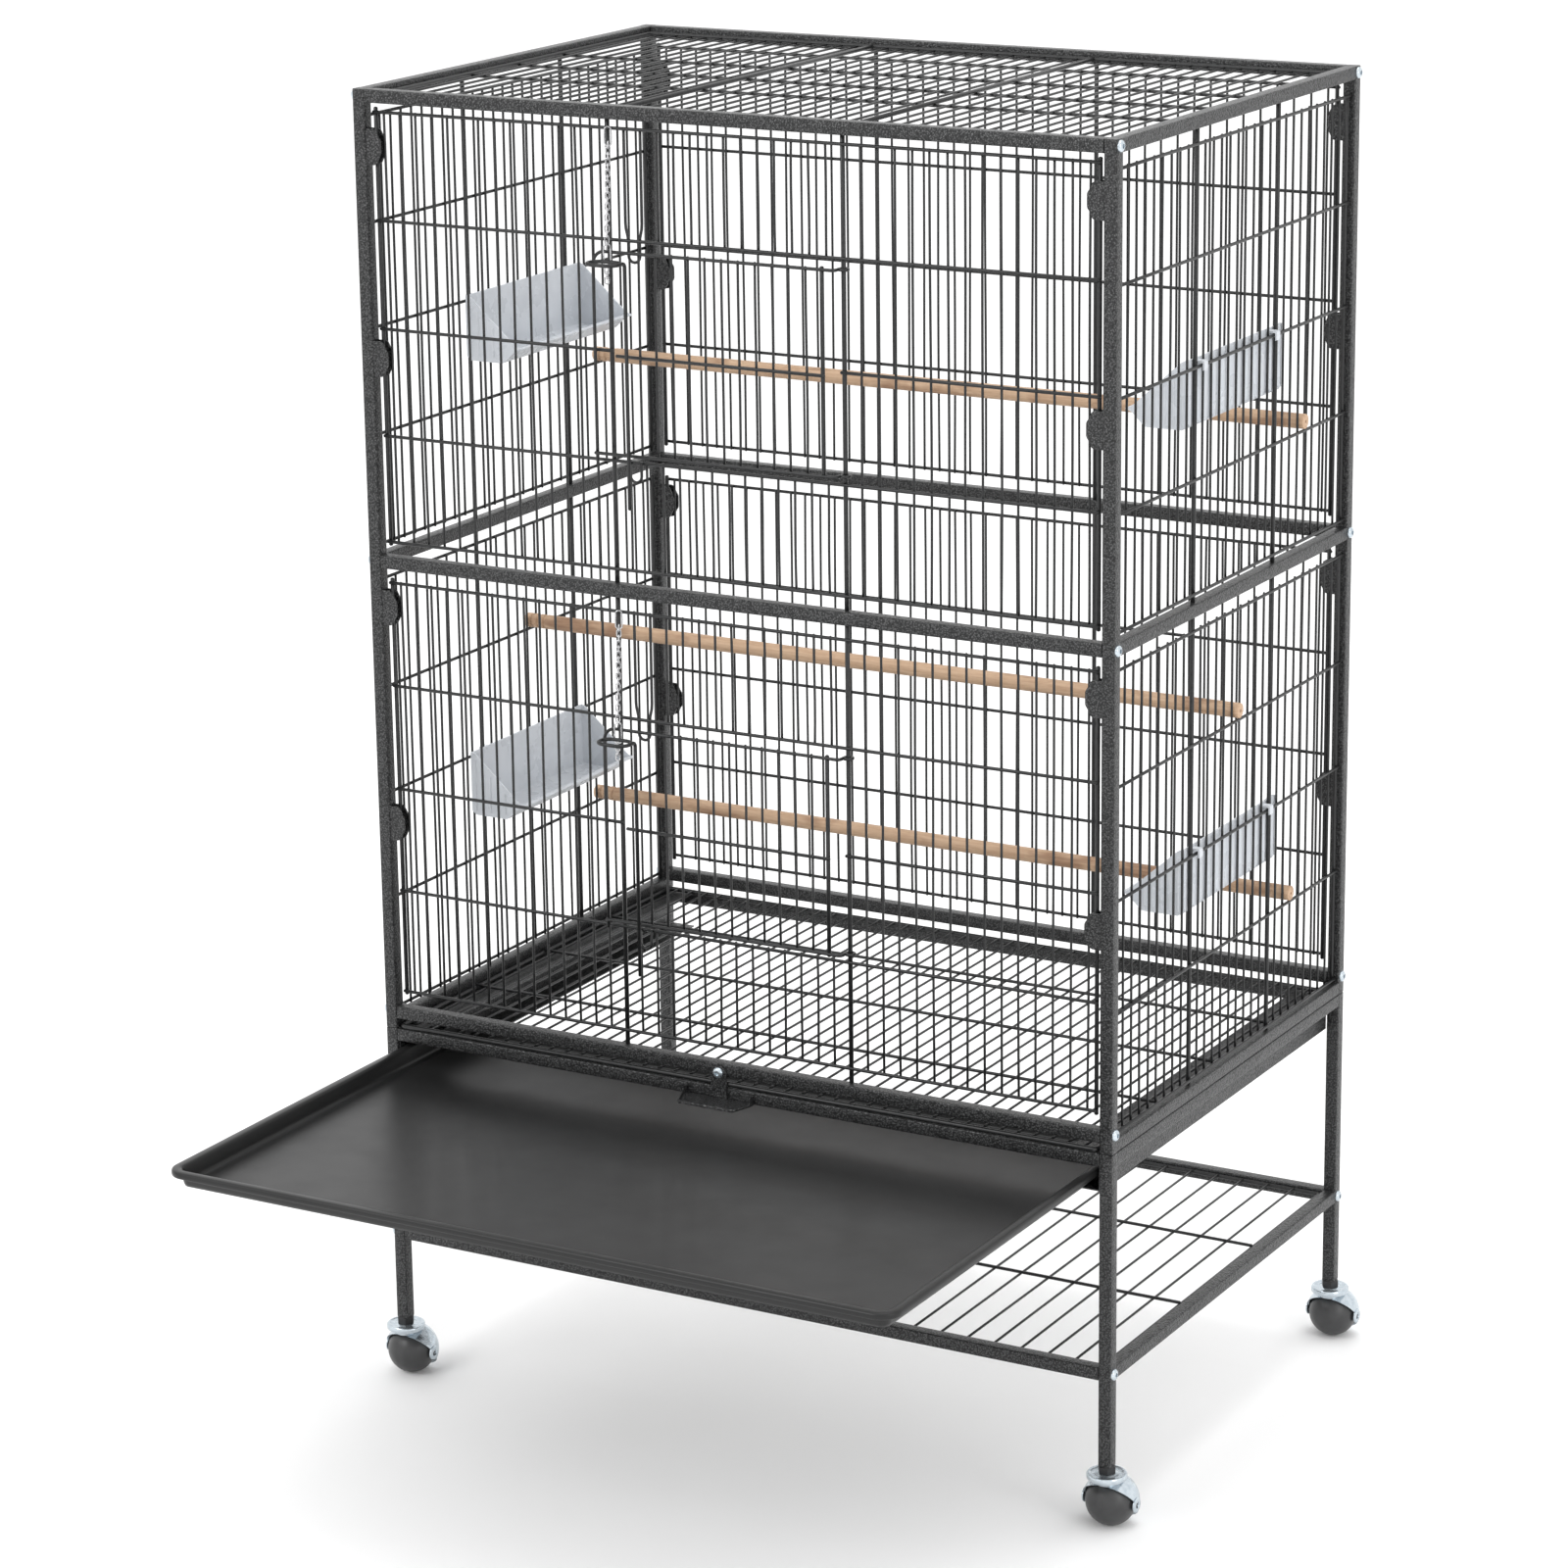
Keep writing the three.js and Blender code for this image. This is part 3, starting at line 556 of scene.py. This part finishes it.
def front_panel(cell):
    node = f"{cell}_front_panel"
    lo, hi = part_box(node)
    z0 = PANEL_Z[cell]
    z1 = z0 + LEVELS[4]
    sill, middle, lintel = (z0 + v for v in LEVELS[1:4])
    plane = FRONT_Y + PANEL_INSET
    front = plane - WELD
    solid = Solid()

    def bar(u, low, high, bow, steps=8):
        solid.wire(bowed((u, plane, low), (u, plane, high), (1, 0, 0), bow, steps), THIN, 8)

    for edge in (-FRONT_HALF, FRONT_HALF):
        solid.wire([(edge, plane, z0 - EDGE_OVERHANG), (edge, plane, z1 + EDGE_OVERHANG)], EDGE)
    for u in front_bars:
        if abs(abs(u) - FRONT_THICK) < SAME:
            solid.wire([(u, plane, lo[2]), (u, plane, hi[2])], THICK)
        elif abs(u) < FRONT_THICK:
            bar(u, z0 - BAR_OVERHANG, sill + DOOR_STUB, BOW * 0.5, 5)
            if round(u / FRONT_PITCH) not in KEEPER_BARS:
                bar(u, lintel - DOOR_STUB, z1 + BAR_OVERHANG, BOW * 0.5, 5)
        else:
            bar(u, z0 - BAR_OVERHANG, z1 + BAR_OVERHANG, BOW)
    # Keeper: one wire that comes down beside the latch, necks in and turns under the lintel
    left, right = (k * FRONT_PITCH for k in KEEPER_BARS)
    centre = (left + right) / 2
    r = 0.0060
    loop = [(left, z1 + BAR_OVERHANG), (left, lintel + 0.016), (left + 0.0004, lintel + 0.011),
            (centre - r - 0.0004, lintel + 0.003), (centre - r, lintel - 0.002), (centre - r, lintel - 0.014)]
    loop += u_bend(centre, r, lintel - 0.014)
    loop += [(2 * centre - u, v) for u, v in reversed(loop[:6])]
    solid.wire([(u, plane, v) for u, v in loop], THIN * 1.15, 8)
    sill_loop = [(centre - r, sill + DOOR_STUB), (centre - r, sill - 0.012)]
    sill_loop += u_bend(centre, r, sill - 0.012)
    sill_loop += [(2 * centre - u, v) for u, v in reversed(sill_loop[:2])]
    solid.wire([(u, plane - 2 * WELD + 0.0002, v) for u, v in sill_loop], THIN * 1.15, 8)
    for z in (z0, sill, lintel, z1):
        reach = FRONT_HALF + CROSS_OVERHANG
        solid.wire(bowed((-reach, front, z), (reach, front, z), (0, 0, 1), CROSS_WANDER, 6), CROSS)
    for s in (-1, 1):
        ends = s * (FRONT_HALF + CROSS_OVERHANG), s * (FRONT_THICK - 0.002)
        solid.wire([(u, front, middle) for u in ends], CROSS)
    piece(f"{node}_wires", solid, WIRE, "cage", [node], 60)


def cell_base(cell):
    """Height of the lowest front cross wire; the door's stile ends on the next one up."""
    lo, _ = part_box(f"{cell}_door")
    return lo[2] - LEVELS[1]


PANEL_Z = {cell: cell_base(cell) for cell in ("upper", "lower")}
for cell in ("upper", "lower"):
    front_panel(cell)
    for face in ("back", "left", "right"):
        plain_panel(cell, face)


def rounded_rectangle(x, y0, y1, corner, z, steps):
    """Level closed loop between -x and x and between y0 and y1."""
    out = []
    for (cx, cy), start in (((x - corner, y1 - corner), 0), ((-x + corner, y1 - corner), 90),
                            ((-x + corner, y0 + corner), 180), ((x - corner, y0 + corner), 270)):
        out += arc((cx, cy), corner, start, start + 90, steps, z)
    return out


LATTICE_Z = {"roof_panel": 1.283, "lower_shelf": 0.155, "grate": 0.3705}
ROOF_HALF_X, ROOF_HALF_Y = 0.380, 0.249     # of its edge wire; its plug wires reach further
LATTICE_CORNER = 0.004


def flat_lattice(node, bars, bar_radius, edge, cross_ys, lift, plug=None):
    lo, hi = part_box(node)
    solid = Solid()
    z = LATTICE_Z[node]
    x = hi[0] - edge
    y0, y1 = lo[1] + edge, hi[1] - edge
    if node == "roof_panel":
        x, y0, y1 = ROOF_HALF_X, MID_Y - ROOF_HALF_Y, MID_Y + ROOF_HALF_Y
    solid.wire(rounded_rectangle(x, y0, y1, LATTICE_CORNER, z, 4), edge, 10, closed=True)
    for u in bars:
        if plug and abs(abs(u) - plug) < SAME:
            solid.wire([(u, lo[1], z), (u, hi[1], z)], THICK)
        else:
            zb = z + bar_radius * lift
            ends = (u, y0 - BAR_OVERHANG, zb), (u, y1 + BAR_OVERHANG, zb)
            solid.wire(bowed(*ends, (1, 0, 0), BOW * 0.7, 6), bar_radius, 8)
    for y, radius in cross_ys:
        zc = z + lift * (bar_radius + radius - 0.0002)
        solid.wire(bowed((-x, y, zc), (x, y, zc), (0, 1, 0), 0.0005, 6), radius)
    return solid


roof = flat_lattice("roof_panel", front_bars, THIN, EDGE,
                    [(MID_Y - 0.083, CROSS), (MID_Y, CROSS), (MID_Y + 0.083, CROSS)], -1, FRONT_THICK)
piece("roof_wires", roof, WIRE, "cage", ["roof_panel"], 60)
grate = flat_lattice("grate", front_bars, THIN, 0.0025,
                     [(MID_Y - 0.128, CROSS), (MID_Y, CROSS), (MID_Y + 0.128, CROSS)], 1)
piece("grate_wires", grate, WIRE, "cage", ["grate"], 60)
shelf = flat_lattice("lower_shelf", positions(0.3797, 27), THIN, EDGE,
                     [(MID_Y - 0.083, CROSS), (MID_Y + 0.083, CROSS)], 1)
piece("shelf_wires", shelf, WIRE, "cage", ["lower_shelf"], 60)

# ---------------------------------------------------------------- doors, latches, chains

HINGE_X = FRONT_THICK
HINGE_Y = FRONT_Y + PANEL_INSET
for cell in ("upper", "lower"):
    z0 = PANEL_Z[cell]
    lo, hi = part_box(f"{cell}_door")
    plane = lo[1] + 0.00475
    bottom, middle, top = z0 + 0.111, z0 + 0.203, z0 + 0.299
    stile = lo[0] + EDGE
    pitch = FRONT_PITCH
    door = Solid()
    door.wire([(HINGE_X - pitch, plane + THIN, z) for z in (bottom - 0.002, top + 0.002)], EDGE)
    for k in range(2, 13):
        u = HINGE_X - k * pitch
        ends = (u, plane + WELD, bottom - 0.001), (u, plane + WELD, top + 0.001)
        door.wire(bowed(*ends, (1, 0, 0), BOW * 0.6, 6), THIN, 8)
    door.wire([(-0.111, plane, middle), (HINGE_X - pitch + 0.002, plane, middle)], CROSS)
    for z in (bottom, top):
        r = 0.0041
        if z == top:
            bend = 0.012
            path = [(stile, plane, z0 + LEVELS[1]), (stile, plane, z0 + 0.2), (stile, plane, top - bend)]
            path += [(stile + bend * (1 - math.cos(q)), plane, top - bend + bend * math.sin(q))
                     for q in (math.pi / 2 * k / 8 for k in range(1, 9))]
        else:
            path = [(stile - 0.001, plane - 0.0024, z)]
        path += [(0.0, plane, z), (HINGE_X - r - 0.004, plane, z)]
        path += arc((HINGE_X - r - 0.004, plane + 0.004), 0.004, -90, 0, 5, z)[1:]
        path += arc((HINGE_X, HINGE_Y), r, 180, -140, 18, z)
        door.wire(path, CROSS, 10)
    piece(f"{cell}_door_wires", door, WIRE, f"{cell}_door", [f"{cell}_door"], 60)

    lo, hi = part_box(f"{cell}_door_latch")
    r = 0.0018
    ring_z = hi[2] - r
    half_w = (hi[1] - 0.0002 - lo[1]) / 2 - r
    cy = lo[1] + r + half_w
    bolt_x = hi[0] - 0.002
    cx = (lo[0] + hi[0]) / 2
    straight = (hi[0] - lo[0]) / 2 - r - half_w
    bolt_y = hi[1] - 0.002
    latch = Solid()
    path = [(bolt_x, bolt_y, lo[2]), (bolt_x, bolt_y, ring_z - 0.004)]
    path += [(bolt_x, bolt_y - 0.004 * (1 - math.cos(q)), ring_z - 0.004 + 0.004 * math.sin(q))
             for q in (math.pi / 2 * k / 5 for k in range(1, 6))]
    path += arc((cx + straight, cy), half_w, 0, -90, 8, ring_z)
    path += arc((cx - straight, cy), half_w, -90, -270, 16, ring_z)
    path += arc((cx + straight, cy), half_w, 90, 32, 6, ring_z)
    latch.wire(path, r, 12)
    piece(f"{cell}_latch_wire", latch, WIRE, f"{cell}_latch", [f"{cell}_door_latch"], 60)

    clo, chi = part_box(f"{cell}_safety_chain")
    x = (clo[0] + chi[0]) / 2
    chain = Solid()

    def link(z, length, width, wire, turn, y, lean=0.0):
        a, b = length / 2 - width / 2, width / 2 - wire
        pts = []
        for k in range(16):
            q = 2 * math.pi * k / 16
            u, v = b * math.cos(q), math.copysign(a, math.sin(q)) + b * math.sin(q)
            if abs(math.sin(q)) < 1e-6:
                v = 0
            c, s_ = math.cos(turn), math.sin(turn)
            pts.append((x + u * c + lean * v, y + u * s_, z + v))
        chain.wire(pts, wire, 6, closed=True)

    top_z = z0 + LEVELS[4]
    y_top = HINGE_Y - WELD - 0.0045
    y_low = (bolt_y + y_top) / 2 - 0.001
    # hooks at both ends and the links between them
    link(top_z - 0.0065, 0.019, 0.0080, 0.0008, 0.35, y_top)
    link(ring_z + 0.0055, 0.022, 0.0085, 0.0009, 0.5, y_low)
    span_top, span_low = top_z - 0.0145, ring_z + 0.0145
    count = int((span_top - span_low) / 0.0049)
    for k in range(count + 1):
        t = k / count
        z = span_top * (1 - t) + span_low * t
        y = y_top * (1 - t) + y_low * t
        link(z, 0.0084, 0.0052, 0.00065, (0.5 if k % 2 else 0.5 + math.pi / 2), y)
    for k in range(1, 4):
        link(ring_z - 0.004 - 0.0045 * k, 0.0084, 0.0052, 0.00065, (0.5 if k % 2 else 2.07), y_low - 0.001)
    piece(f"{cell}_chain_links", chain, CHAIN, "cage", [f"{cell}_safety_chain"], 60)

# ---------------------------------------------------------------- tray

lo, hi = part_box("tray")
TRAY_CORNER = 0.020


def tray_loop(inset, z):
    corner = max(TRAY_CORNER - inset, 0.006)
    return rounded_rectangle(hi[0] - inset, lo[1] + inset, hi[1] - inset, corner, z, 10)


floor_z, rim_z = lo[2], hi[2]
tray = Solid()
# Sections from the rim inwards as (inset, height): the upper face, then the underside back out again
section = [(0.0016, rim_z - 0.0062), (0.0004, rim_z - 0.0058), (0.0, rim_z - 0.0045), (0.0, rim_z - 0.0022),
           (0.0006, rim_z - 0.0007), (0.0022, rim_z), (0.0075, rim_z), (0.0092, rim_z - 0.0006),
           (0.0104, rim_z - 0.0022), (0.0118, floor_z + 0.0048), (0.0128, floor_z + 0.0024),
           (0.0150, floor_z + 0.0012), (0.0200, floor_z + 0.0010)]
under = [(0.0200, floor_z), (0.0145, floor_z), (0.0118, floor_z + 0.0010), (0.0106, floor_z + 0.0040),
         (0.0092, rim_z - 0.0028), (0.0080, rim_z - 0.0012), (0.0024, rim_z - 0.0012),
         (0.0014, rim_z - 0.0022), (0.0018, rim_z - 0.0058)]
ids = [tray.ring(tray_loop(d, z)) for d, z in section]
ids_under = [tray.ring(tray_loop(d, z)) for d, z in under]
for a, b in zip(ids, ids[1:]):
    tray.bridge(a, b)
for a, b in zip(ids_under, ids_under[1:]):
    tray.bridge(a, b)
tray.bridge(ids_under[-1], ids[0])
tray.faces.append(tuple(ids[-1]))
tray.faces.append(tuple(reversed(ids_under[0])))
piece("tray_pan", tray, TRAY, "tray", ["tray"], 60)

# ---------------------------------------------------------------- grate latch

lo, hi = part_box("grate_latch")
slo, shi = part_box("grate_latch_screw")
gx = (slo[0] + shi[0]) / 2
gz = (slo[2] + shi[2]) / 2
tab = Solid()
outline = [(-0.0085, lo[2] - gz + 0.001), (0.0085, lo[2] - gz + 0.001), (0.0085, -0.002)]
outline += [(0.0085 * math.cos(q), -0.002 + 0.0085 * math.sin(q))
            for q in (math.pi * k / 14 for k in range(1, 14))]
outline += [(-0.0085, -0.002)]
stand = Matrix(((1, 0, 0, gx), (0, 0, 1, hi[1] - 0.0018), (0, 1, 0, gz), (0, 0, 0, 1)))
tab.prism(outline, stand, 0.0018)
ledge = [(-0.037, hi[1]), (0.037, hi[1]), (0.0365, hi[1] - 0.008), (0.030, lo[1] + 0.001), (0.0285, lo[1]),
         (-0.0285, lo[1]), (-0.030, lo[1] + 0.001), (-0.0365, hi[1] - 0.008)]
tab.prism(ledge, at(gx, 0, lo[2]), 0.0014)
tab.wire([(gx + u, v + 0.0012 * (v < hi[1] - 0.02), lo[2] + 0.0016) for u, v in ledge[2:]], 0.0012, 8)
for s in (-1, 1):
    corners = ((0.0355, 0), (0.0372, 0), (0.0372, 0.009), (0.0355, 0.009))
    ear = [(gx + s * u, hi[1], lo[2] + v) for u, v in corners]
    tab.loft([ear, [(u, hi[1] - 0.008, v) for u, _, v in ear]])
piece("grate_latch_look", tab, FRAME, "grate_latch", ["grate_latch"], 35, 0.0004)

screw = Solid()
place = at(gx, hi[1] - 0.0021, gz) @ Matrix.Rotation(math.pi / 2, 4, "X")
button_screw(screw, place)
piece("grate_latch_screw_look", screw, ZINC, "cage", ["grate_latch_screw"])


# ---------------------------------------------------------------- feeders

def feeder(cell, name, s):
    node = f"{cell}_{name}_feeder"
    lo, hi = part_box(node)
    back = max(abs(lo[0]), abs(hi[0])) - 0.0092
    base, top = lo[2], hi[2]
    rim = base + 0.016
    t = 0.0018
    y0, y1 = lo[1], hi[1]
    solid = Solid()

    def put(d, y, z):
        """d is the distance in from the back face."""
        return (s * (back - d), y, z)

    shell = [(0.0, top), (0.0, base + 0.006), (0.0016, base + 0.0016), (0.006, base), (0.0400, base),
             (0.0430, base + 0.0010), (0.0550, rim - 0.0034), (0.0568, rim - 0.0018), (0.0615, rim - 0.0018),
             (0.0622, rim - 0.0012), (0.0622, rim - 0.0004), (0.0612, rim), (0.0560, rim),
             (0.0542, rim - 0.0010), (0.0418, base + 0.0028), (0.0390, base + t), (0.0065, base + t),
             (0.0030, base + 0.0030), (t, base + 0.007), (t, top - 0.0003)]
    solid.loft([[put(d, y, z) for d, z in shell] for y in (y0 + 0.001, y1 - 0.001)])
    wall = [(0.0, top), (0.0, base + 0.004), (0.005, base), (0.0405, base), (0.0432, base + 0.0012),
            (0.0555, rim - 0.0030), (0.0612, rim - 0.0010), (0.0612, rim), (0.0560, rim + 0.0014),
            (0.0060, top - 0.0020), (0.0022, top)]
    for y in (y0, y1 - t):
        solid.loft([[put(d, yy, z) for d, z in wall] for yy in (y, y + t)])
    ribs = 20
    for k in range(ribs):
        y = y0 + (y1 - y0) * (k + 0.5) / ribs
        rib = [(0.0, y - 0.0014), (-0.0009, y - 0.0006), (-0.0009, y + 0.0006), (0.0, y + 0.0014),
               (0.0006, y)]
        solid.loft([[put(d, yy, z) for d, yy in rib] for z in (base + 0.004, top - 0.002)])
    for end, y in ((-1, y0), (1, y1)):
        for k in range(5):
            d = 0.005 + 0.0085 * k
            high = top - 0.0035 - d * 0.87
            rib = [(d - 0.0014, 0.0), (d - 0.0006, 0.0009), (d + 0.0006, 0.0009), (d + 0.0014, 0.0),
                   (d, -0.0006)]
            heights = (base + 0.004 + 0.0003 * k, high)
            solid.loft([[put(u, y + end * v, z) for u, v in rib] for z in heights])
    # Two hooks that reach out between the bars and over a cross wire, drawn back from the feeder's back face
    wire_top = top - 0.007 + 0.0021
    hook = [(0.0012, 0.0030), (0.0, 0.0030), (-0.0082, 0.0030), (-0.0094, 0.0022), (-0.0096, 0.0008),
            (-0.0096, -0.0055), (-0.0079, -0.0060), (-0.0079, 0.0004), (-0.0073, 0.0011), (0.0, 0.0011),
            (0.0012, 0.0011)]
    path = [(d, wire_top + rise) for d, rise in hook]
    for y in (MID_Y - 4.5 * SIDE_PITCH, MID_Y + 4.5 * SIDE_PITCH):
        solid.loft([[put(d, yy, z) for d, z in path] for yy in (y - 0.0038, y + 0.0038)])
    piece(f"{node}_look", solid, MILKY, f"{cell}_{name}_feeder", [node], 35)


for cell in ("upper", "lower"):
    feeder(cell, "left", -1)
    feeder(cell, "right", 1)

# ---------------------------------------------------------------- perches

for name in ("upper", "middle", "lower"):
    lo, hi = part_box(f"{name}_perch")
    r = (hi[2] - lo[2]) / 2
    cy, cz = (lo[1] + hi[1]) / 2, (lo[2] + hi[2]) / 2
    length = hi[0] - lo[0]
    profile = [(0.0, 0.0), (r - 0.0012, 0.0), (r - 0.0003, 0.0004), (r, 0.0014)]
    for k in range(3):
        start = 0.0065 + 0.0075 * k
        profile += [(r, start), (r - 0.0013, start + 0.0010), (r - 0.0013, start + 0.0026),
                    (r, start + 0.0036)]
    profile += [(r * (1 + 0.004 * math.sin(k * 1.7)), 0.04 + (length - 0.05) * k / 24) for k in range(25)]
    profile += [(r, length - 0.0014), (r - 0.0003, length - 0.0004), (r - 0.0012, length),
                (0.0016, length), (0.0013, length - 0.003), (0.0, length - 0.003)]
    dowel = Solid()
    dowel.lathe(profile, at(lo[0], cy, cz) @ Matrix.Rotation(math.pi / 2, 4, "Y"), 28)
    piece(f"{name}_perch_dowel", dowel, WOOD, "cage", [f"{name}_perch"], 30)


# ---------------------------------------------------------------- casters

def shell_point(centre, radius, tilt, polar, around):
    """Point on a sphere whose pole is tilted from up towards +Y."""
    p = Vector((math.sin(polar) * math.cos(around), math.sin(polar) * math.sin(around), math.cos(polar)))
    p.rotate(Matrix.Rotation(-tilt, 3, "X"))
    return Vector(centre) + p * radius


def shell_row(centre, radius, tilt, polar, steps=40):
    return [shell_point(centre, radius, tilt, polar, 2 * math.pi * k / steps) for k in range(steps)]


HOOD_TILT = math.radians(50)
HOOD_ROWS = 12
HOOD_RIM = math.radians(90)
FLANGE_Z = 0.0445                       # height of the hood's bearing flange above the floor

for face in ("front", "back"):
    for side_name, s in (("left", -1), ("right", 1)):
        tag = f"{face}_{side_name}"
        blo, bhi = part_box(f"{tag}_caster_ball")
        centre = ((blo[0] + bhi[0]) / 2, (blo[1] + bhi[1]) / 2, (blo[2] + bhi[2]) / 2)
        r = (bhi[2] - blo[2]) / 2
        x, y = s * POST_X, END_Y[face]
        hood = Solid()
        outer, inner = r + 0.003, r + 0.0014
        polars = [HOOD_RIM * (0.02 + 0.98 * i / HOOD_ROWS) for i in range(HOOD_ROWS + 1)]
        rows_out = [shell_row(centre, outer, HOOD_TILT, polar) for polar in polars]
        rows_in = [shell_row(centre, inner, HOOD_TILT, polar) for polar in polars]
        lip = shell_row(centre, outer + 0.0004, HOOD_TILT, HOOD_RIM + 0.03)
        hood.loft(rows_out + [lip] + list(reversed(rows_in)))
        flange = [(0.0046, 0.0445), (0.0046, 0.0549), (0.0100, 0.0549), (0.0112, 0.0540), (0.0150, 0.0540),
                  (0.0166, 0.0551), (0.0182, 0.0549), (0.0190, 0.0538), (0.0190, 0.0505), (0.0182, 0.0494),
                  (0.0150, 0.0490), (0.0120, 0.0478), (0.0105, 0.0445), (0.0046, 0.0445)]
        hood.lathe([(a, b - FLANGE_Z) for a, b in flange], at(x, y, FLANGE_Z), 40)
        for e in (-1, 1):
            boss = at(centre[0] + e * (inner + 0.0002), centre[1], centre[2])
            boss = boss @ Matrix.Rotation(e * math.pi / 2, 4, "Y")
            hood.lathe([(0.0029, 0.0), (0.0072, 0.0), (0.0072, 0.0010), (0.0060, 0.0018), (0.0034, 0.0018),
                        (0.0029, 0.0012), (0.0029, 0.0)], boss, 28)
        piece(f"{tag}_hood_look", hood, ZINC, f"{tag}_hood", [f"{tag}_caster_hood"], 40)
        axle = Solid()
        alo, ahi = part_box(f"{tag}_caster_axle")
        length = ahi[0] - alo[0]
        axle.lathe([(0.0, 0.0), (0.0016, 0.0), (0.0024, 0.0006), (0.0024, length - 0.0006), (0.0016, length),
                    (0.0, length)],
                   at(alo[0], centre[1], centre[2]) @ Matrix.Rotation(math.pi / 2, 4, "Y"), 20)
        piece(f"{tag}_axle_look", axle, BLACK, f"{tag}_hood", [f"{tag}_caster_axle"], 40)
        ball = Solid()
        rows_ball = []
        n = 24
        for i in range(n + 1):
            q = math.pi * (0.045 + 0.91 * i / n)
            radius = r - (0.00035 if i == n // 2 else 0.0)
            rows_ball.append((radius * math.sin(q), -r * math.cos(q)))
        profile = [(0.0029, rows_ball[0][1] + 0.001)] + [(0.0029, rows_ball[0][1])] + rows_ball \
            + [(0.0029, rows_ball[-1][1]), (0.0029, rows_ball[-1][1] - 0.001)]
        ball.lathe(profile + [profile[0]],
                   at(*centre) @ Matrix.Rotation(math.pi / 2, 4, "Y"), 40)
        piece(f"{tag}_ball_look", ball, BALL, f"{tag}_ball", [f"{tag}_caster_ball"], 40)
        nut = Solid()
        stem_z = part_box(f"{tag}_caster_stem")[0][2]
        hexagon = [(0.0088 * math.cos(math.pi / 3 * k), 0.0088 * math.sin(math.pi / 3 * k)) for k in range(6)]
        nut.prism(hexagon, at(x, y, 0.0552), 0.0062)
        nut.lathe([(0.0, 0.0), (0.0038, 0.0), (0.0038, 0.012), (0.0, 0.012)], at(x, y, stem_z), 24)
        nut.lathe([(0.0, 0.0), (0.0075, 0.0), (0.0078, 0.0004), (0.0078, 0.0012), (0.0070, 0.0020),
                   (0.0, 0.0020)], at(x, y, FOOT_Z - 0.0014), 28)
        piece(f"{tag}_nut_look", nut, BLACK, "cage", [f"{tag}_caster_stem"], 30)

# ---------------------------------------------------------------- stage, light and camera

FLOOR_HALF = 40
floor = bpy.data.meshes.new("floor")
floor.from_pydata([(u * FLOOR_HALF, v * FLOOR_HALF, 0) for u, v in ((-1, -1), (1, -1), (1, 1), (-1, 1))], [],
                  [(0, 1, 2, 3)])
floor_obj = bpy.data.objects.new("floor", floor)
bpy.context.scene.collection.objects.link(floor_obj)
floor.materials.append(plain_floor())

world = bpy.data.worlds.new("studio")
bpy.context.scene.world = world
world.use_nodes = True
world.node_tree.nodes["Background"].inputs["Color"].default_value = (1.0, 1.0, 1.0, 1)
world.node_tree.nodes["Background"].inputs["Strength"].default_value = 1.22
bpy.context.scene.view_settings.view_transform = "Standard"


def area_light(name, place, target, size, power):
    data = bpy.data.lights.new(name, "AREA")
    data.energy = power
    data.shape = "RECTANGLE"
    data.size, data.size_y = size
    obj = bpy.data.objects.new(name, data)
    obj.location = place
    direction = Vector(target) - Vector(place)
    obj.rotation_euler = direction.to_track_quat("-Z", "Y").to_euler()
    bpy.context.scene.collection.objects.link(obj)


area_light("key", (-1.6, -3.4, 3.2), (0, 0, 0.7), (2.2, 1.6), 52)
area_light("overhead", (0.3, 0.2, 3.6), (0, 0, 0.6), (2.6, 2.0), 26)
area_light("side", (3.4, -1.2, 1.8), (0, 0, 0.7), (1.4, 2.0), 22)

camera_data = bpy.data.cameras.new("camera")
camera = bpy.data.objects.new("camera", camera_data)
bpy.context.scene.collection.objects.link(camera)
bpy.context.scene.camera = camera
camera_data.lens = 110.37
camera_data.sensor_width = 36
camera_data.shift_y = -0.03
camera_place = (2.17119, MID_Y - 3.9596, 1.89173)
azimuth, elevation, roll = math.radians(29.75), math.radians(15.4), math.radians(-0.776)
forward = Vector((-math.sin(azimuth) * math.cos(elevation), math.cos(azimuth) * math.cos(elevation),
                  -math.sin(elevation)))
right = forward.cross(Vector((0, 0, 1))).normalized()
up = right.cross(forward)
right_rolled = right * math.cos(roll) + up * math.sin(roll)
up_rolled = right_rolled.cross(forward)
camera.matrix_world = Matrix(((right_rolled.x, up_rolled.x, -forward.x, camera_place[0]),
                              (right_rolled.y, up_rolled.y, -forward.y, camera_place[1]),
                              (right_rolled.z, up_rolled.z, -forward.z, camera_place[2]),
                              (0, 0, 0, 1)))
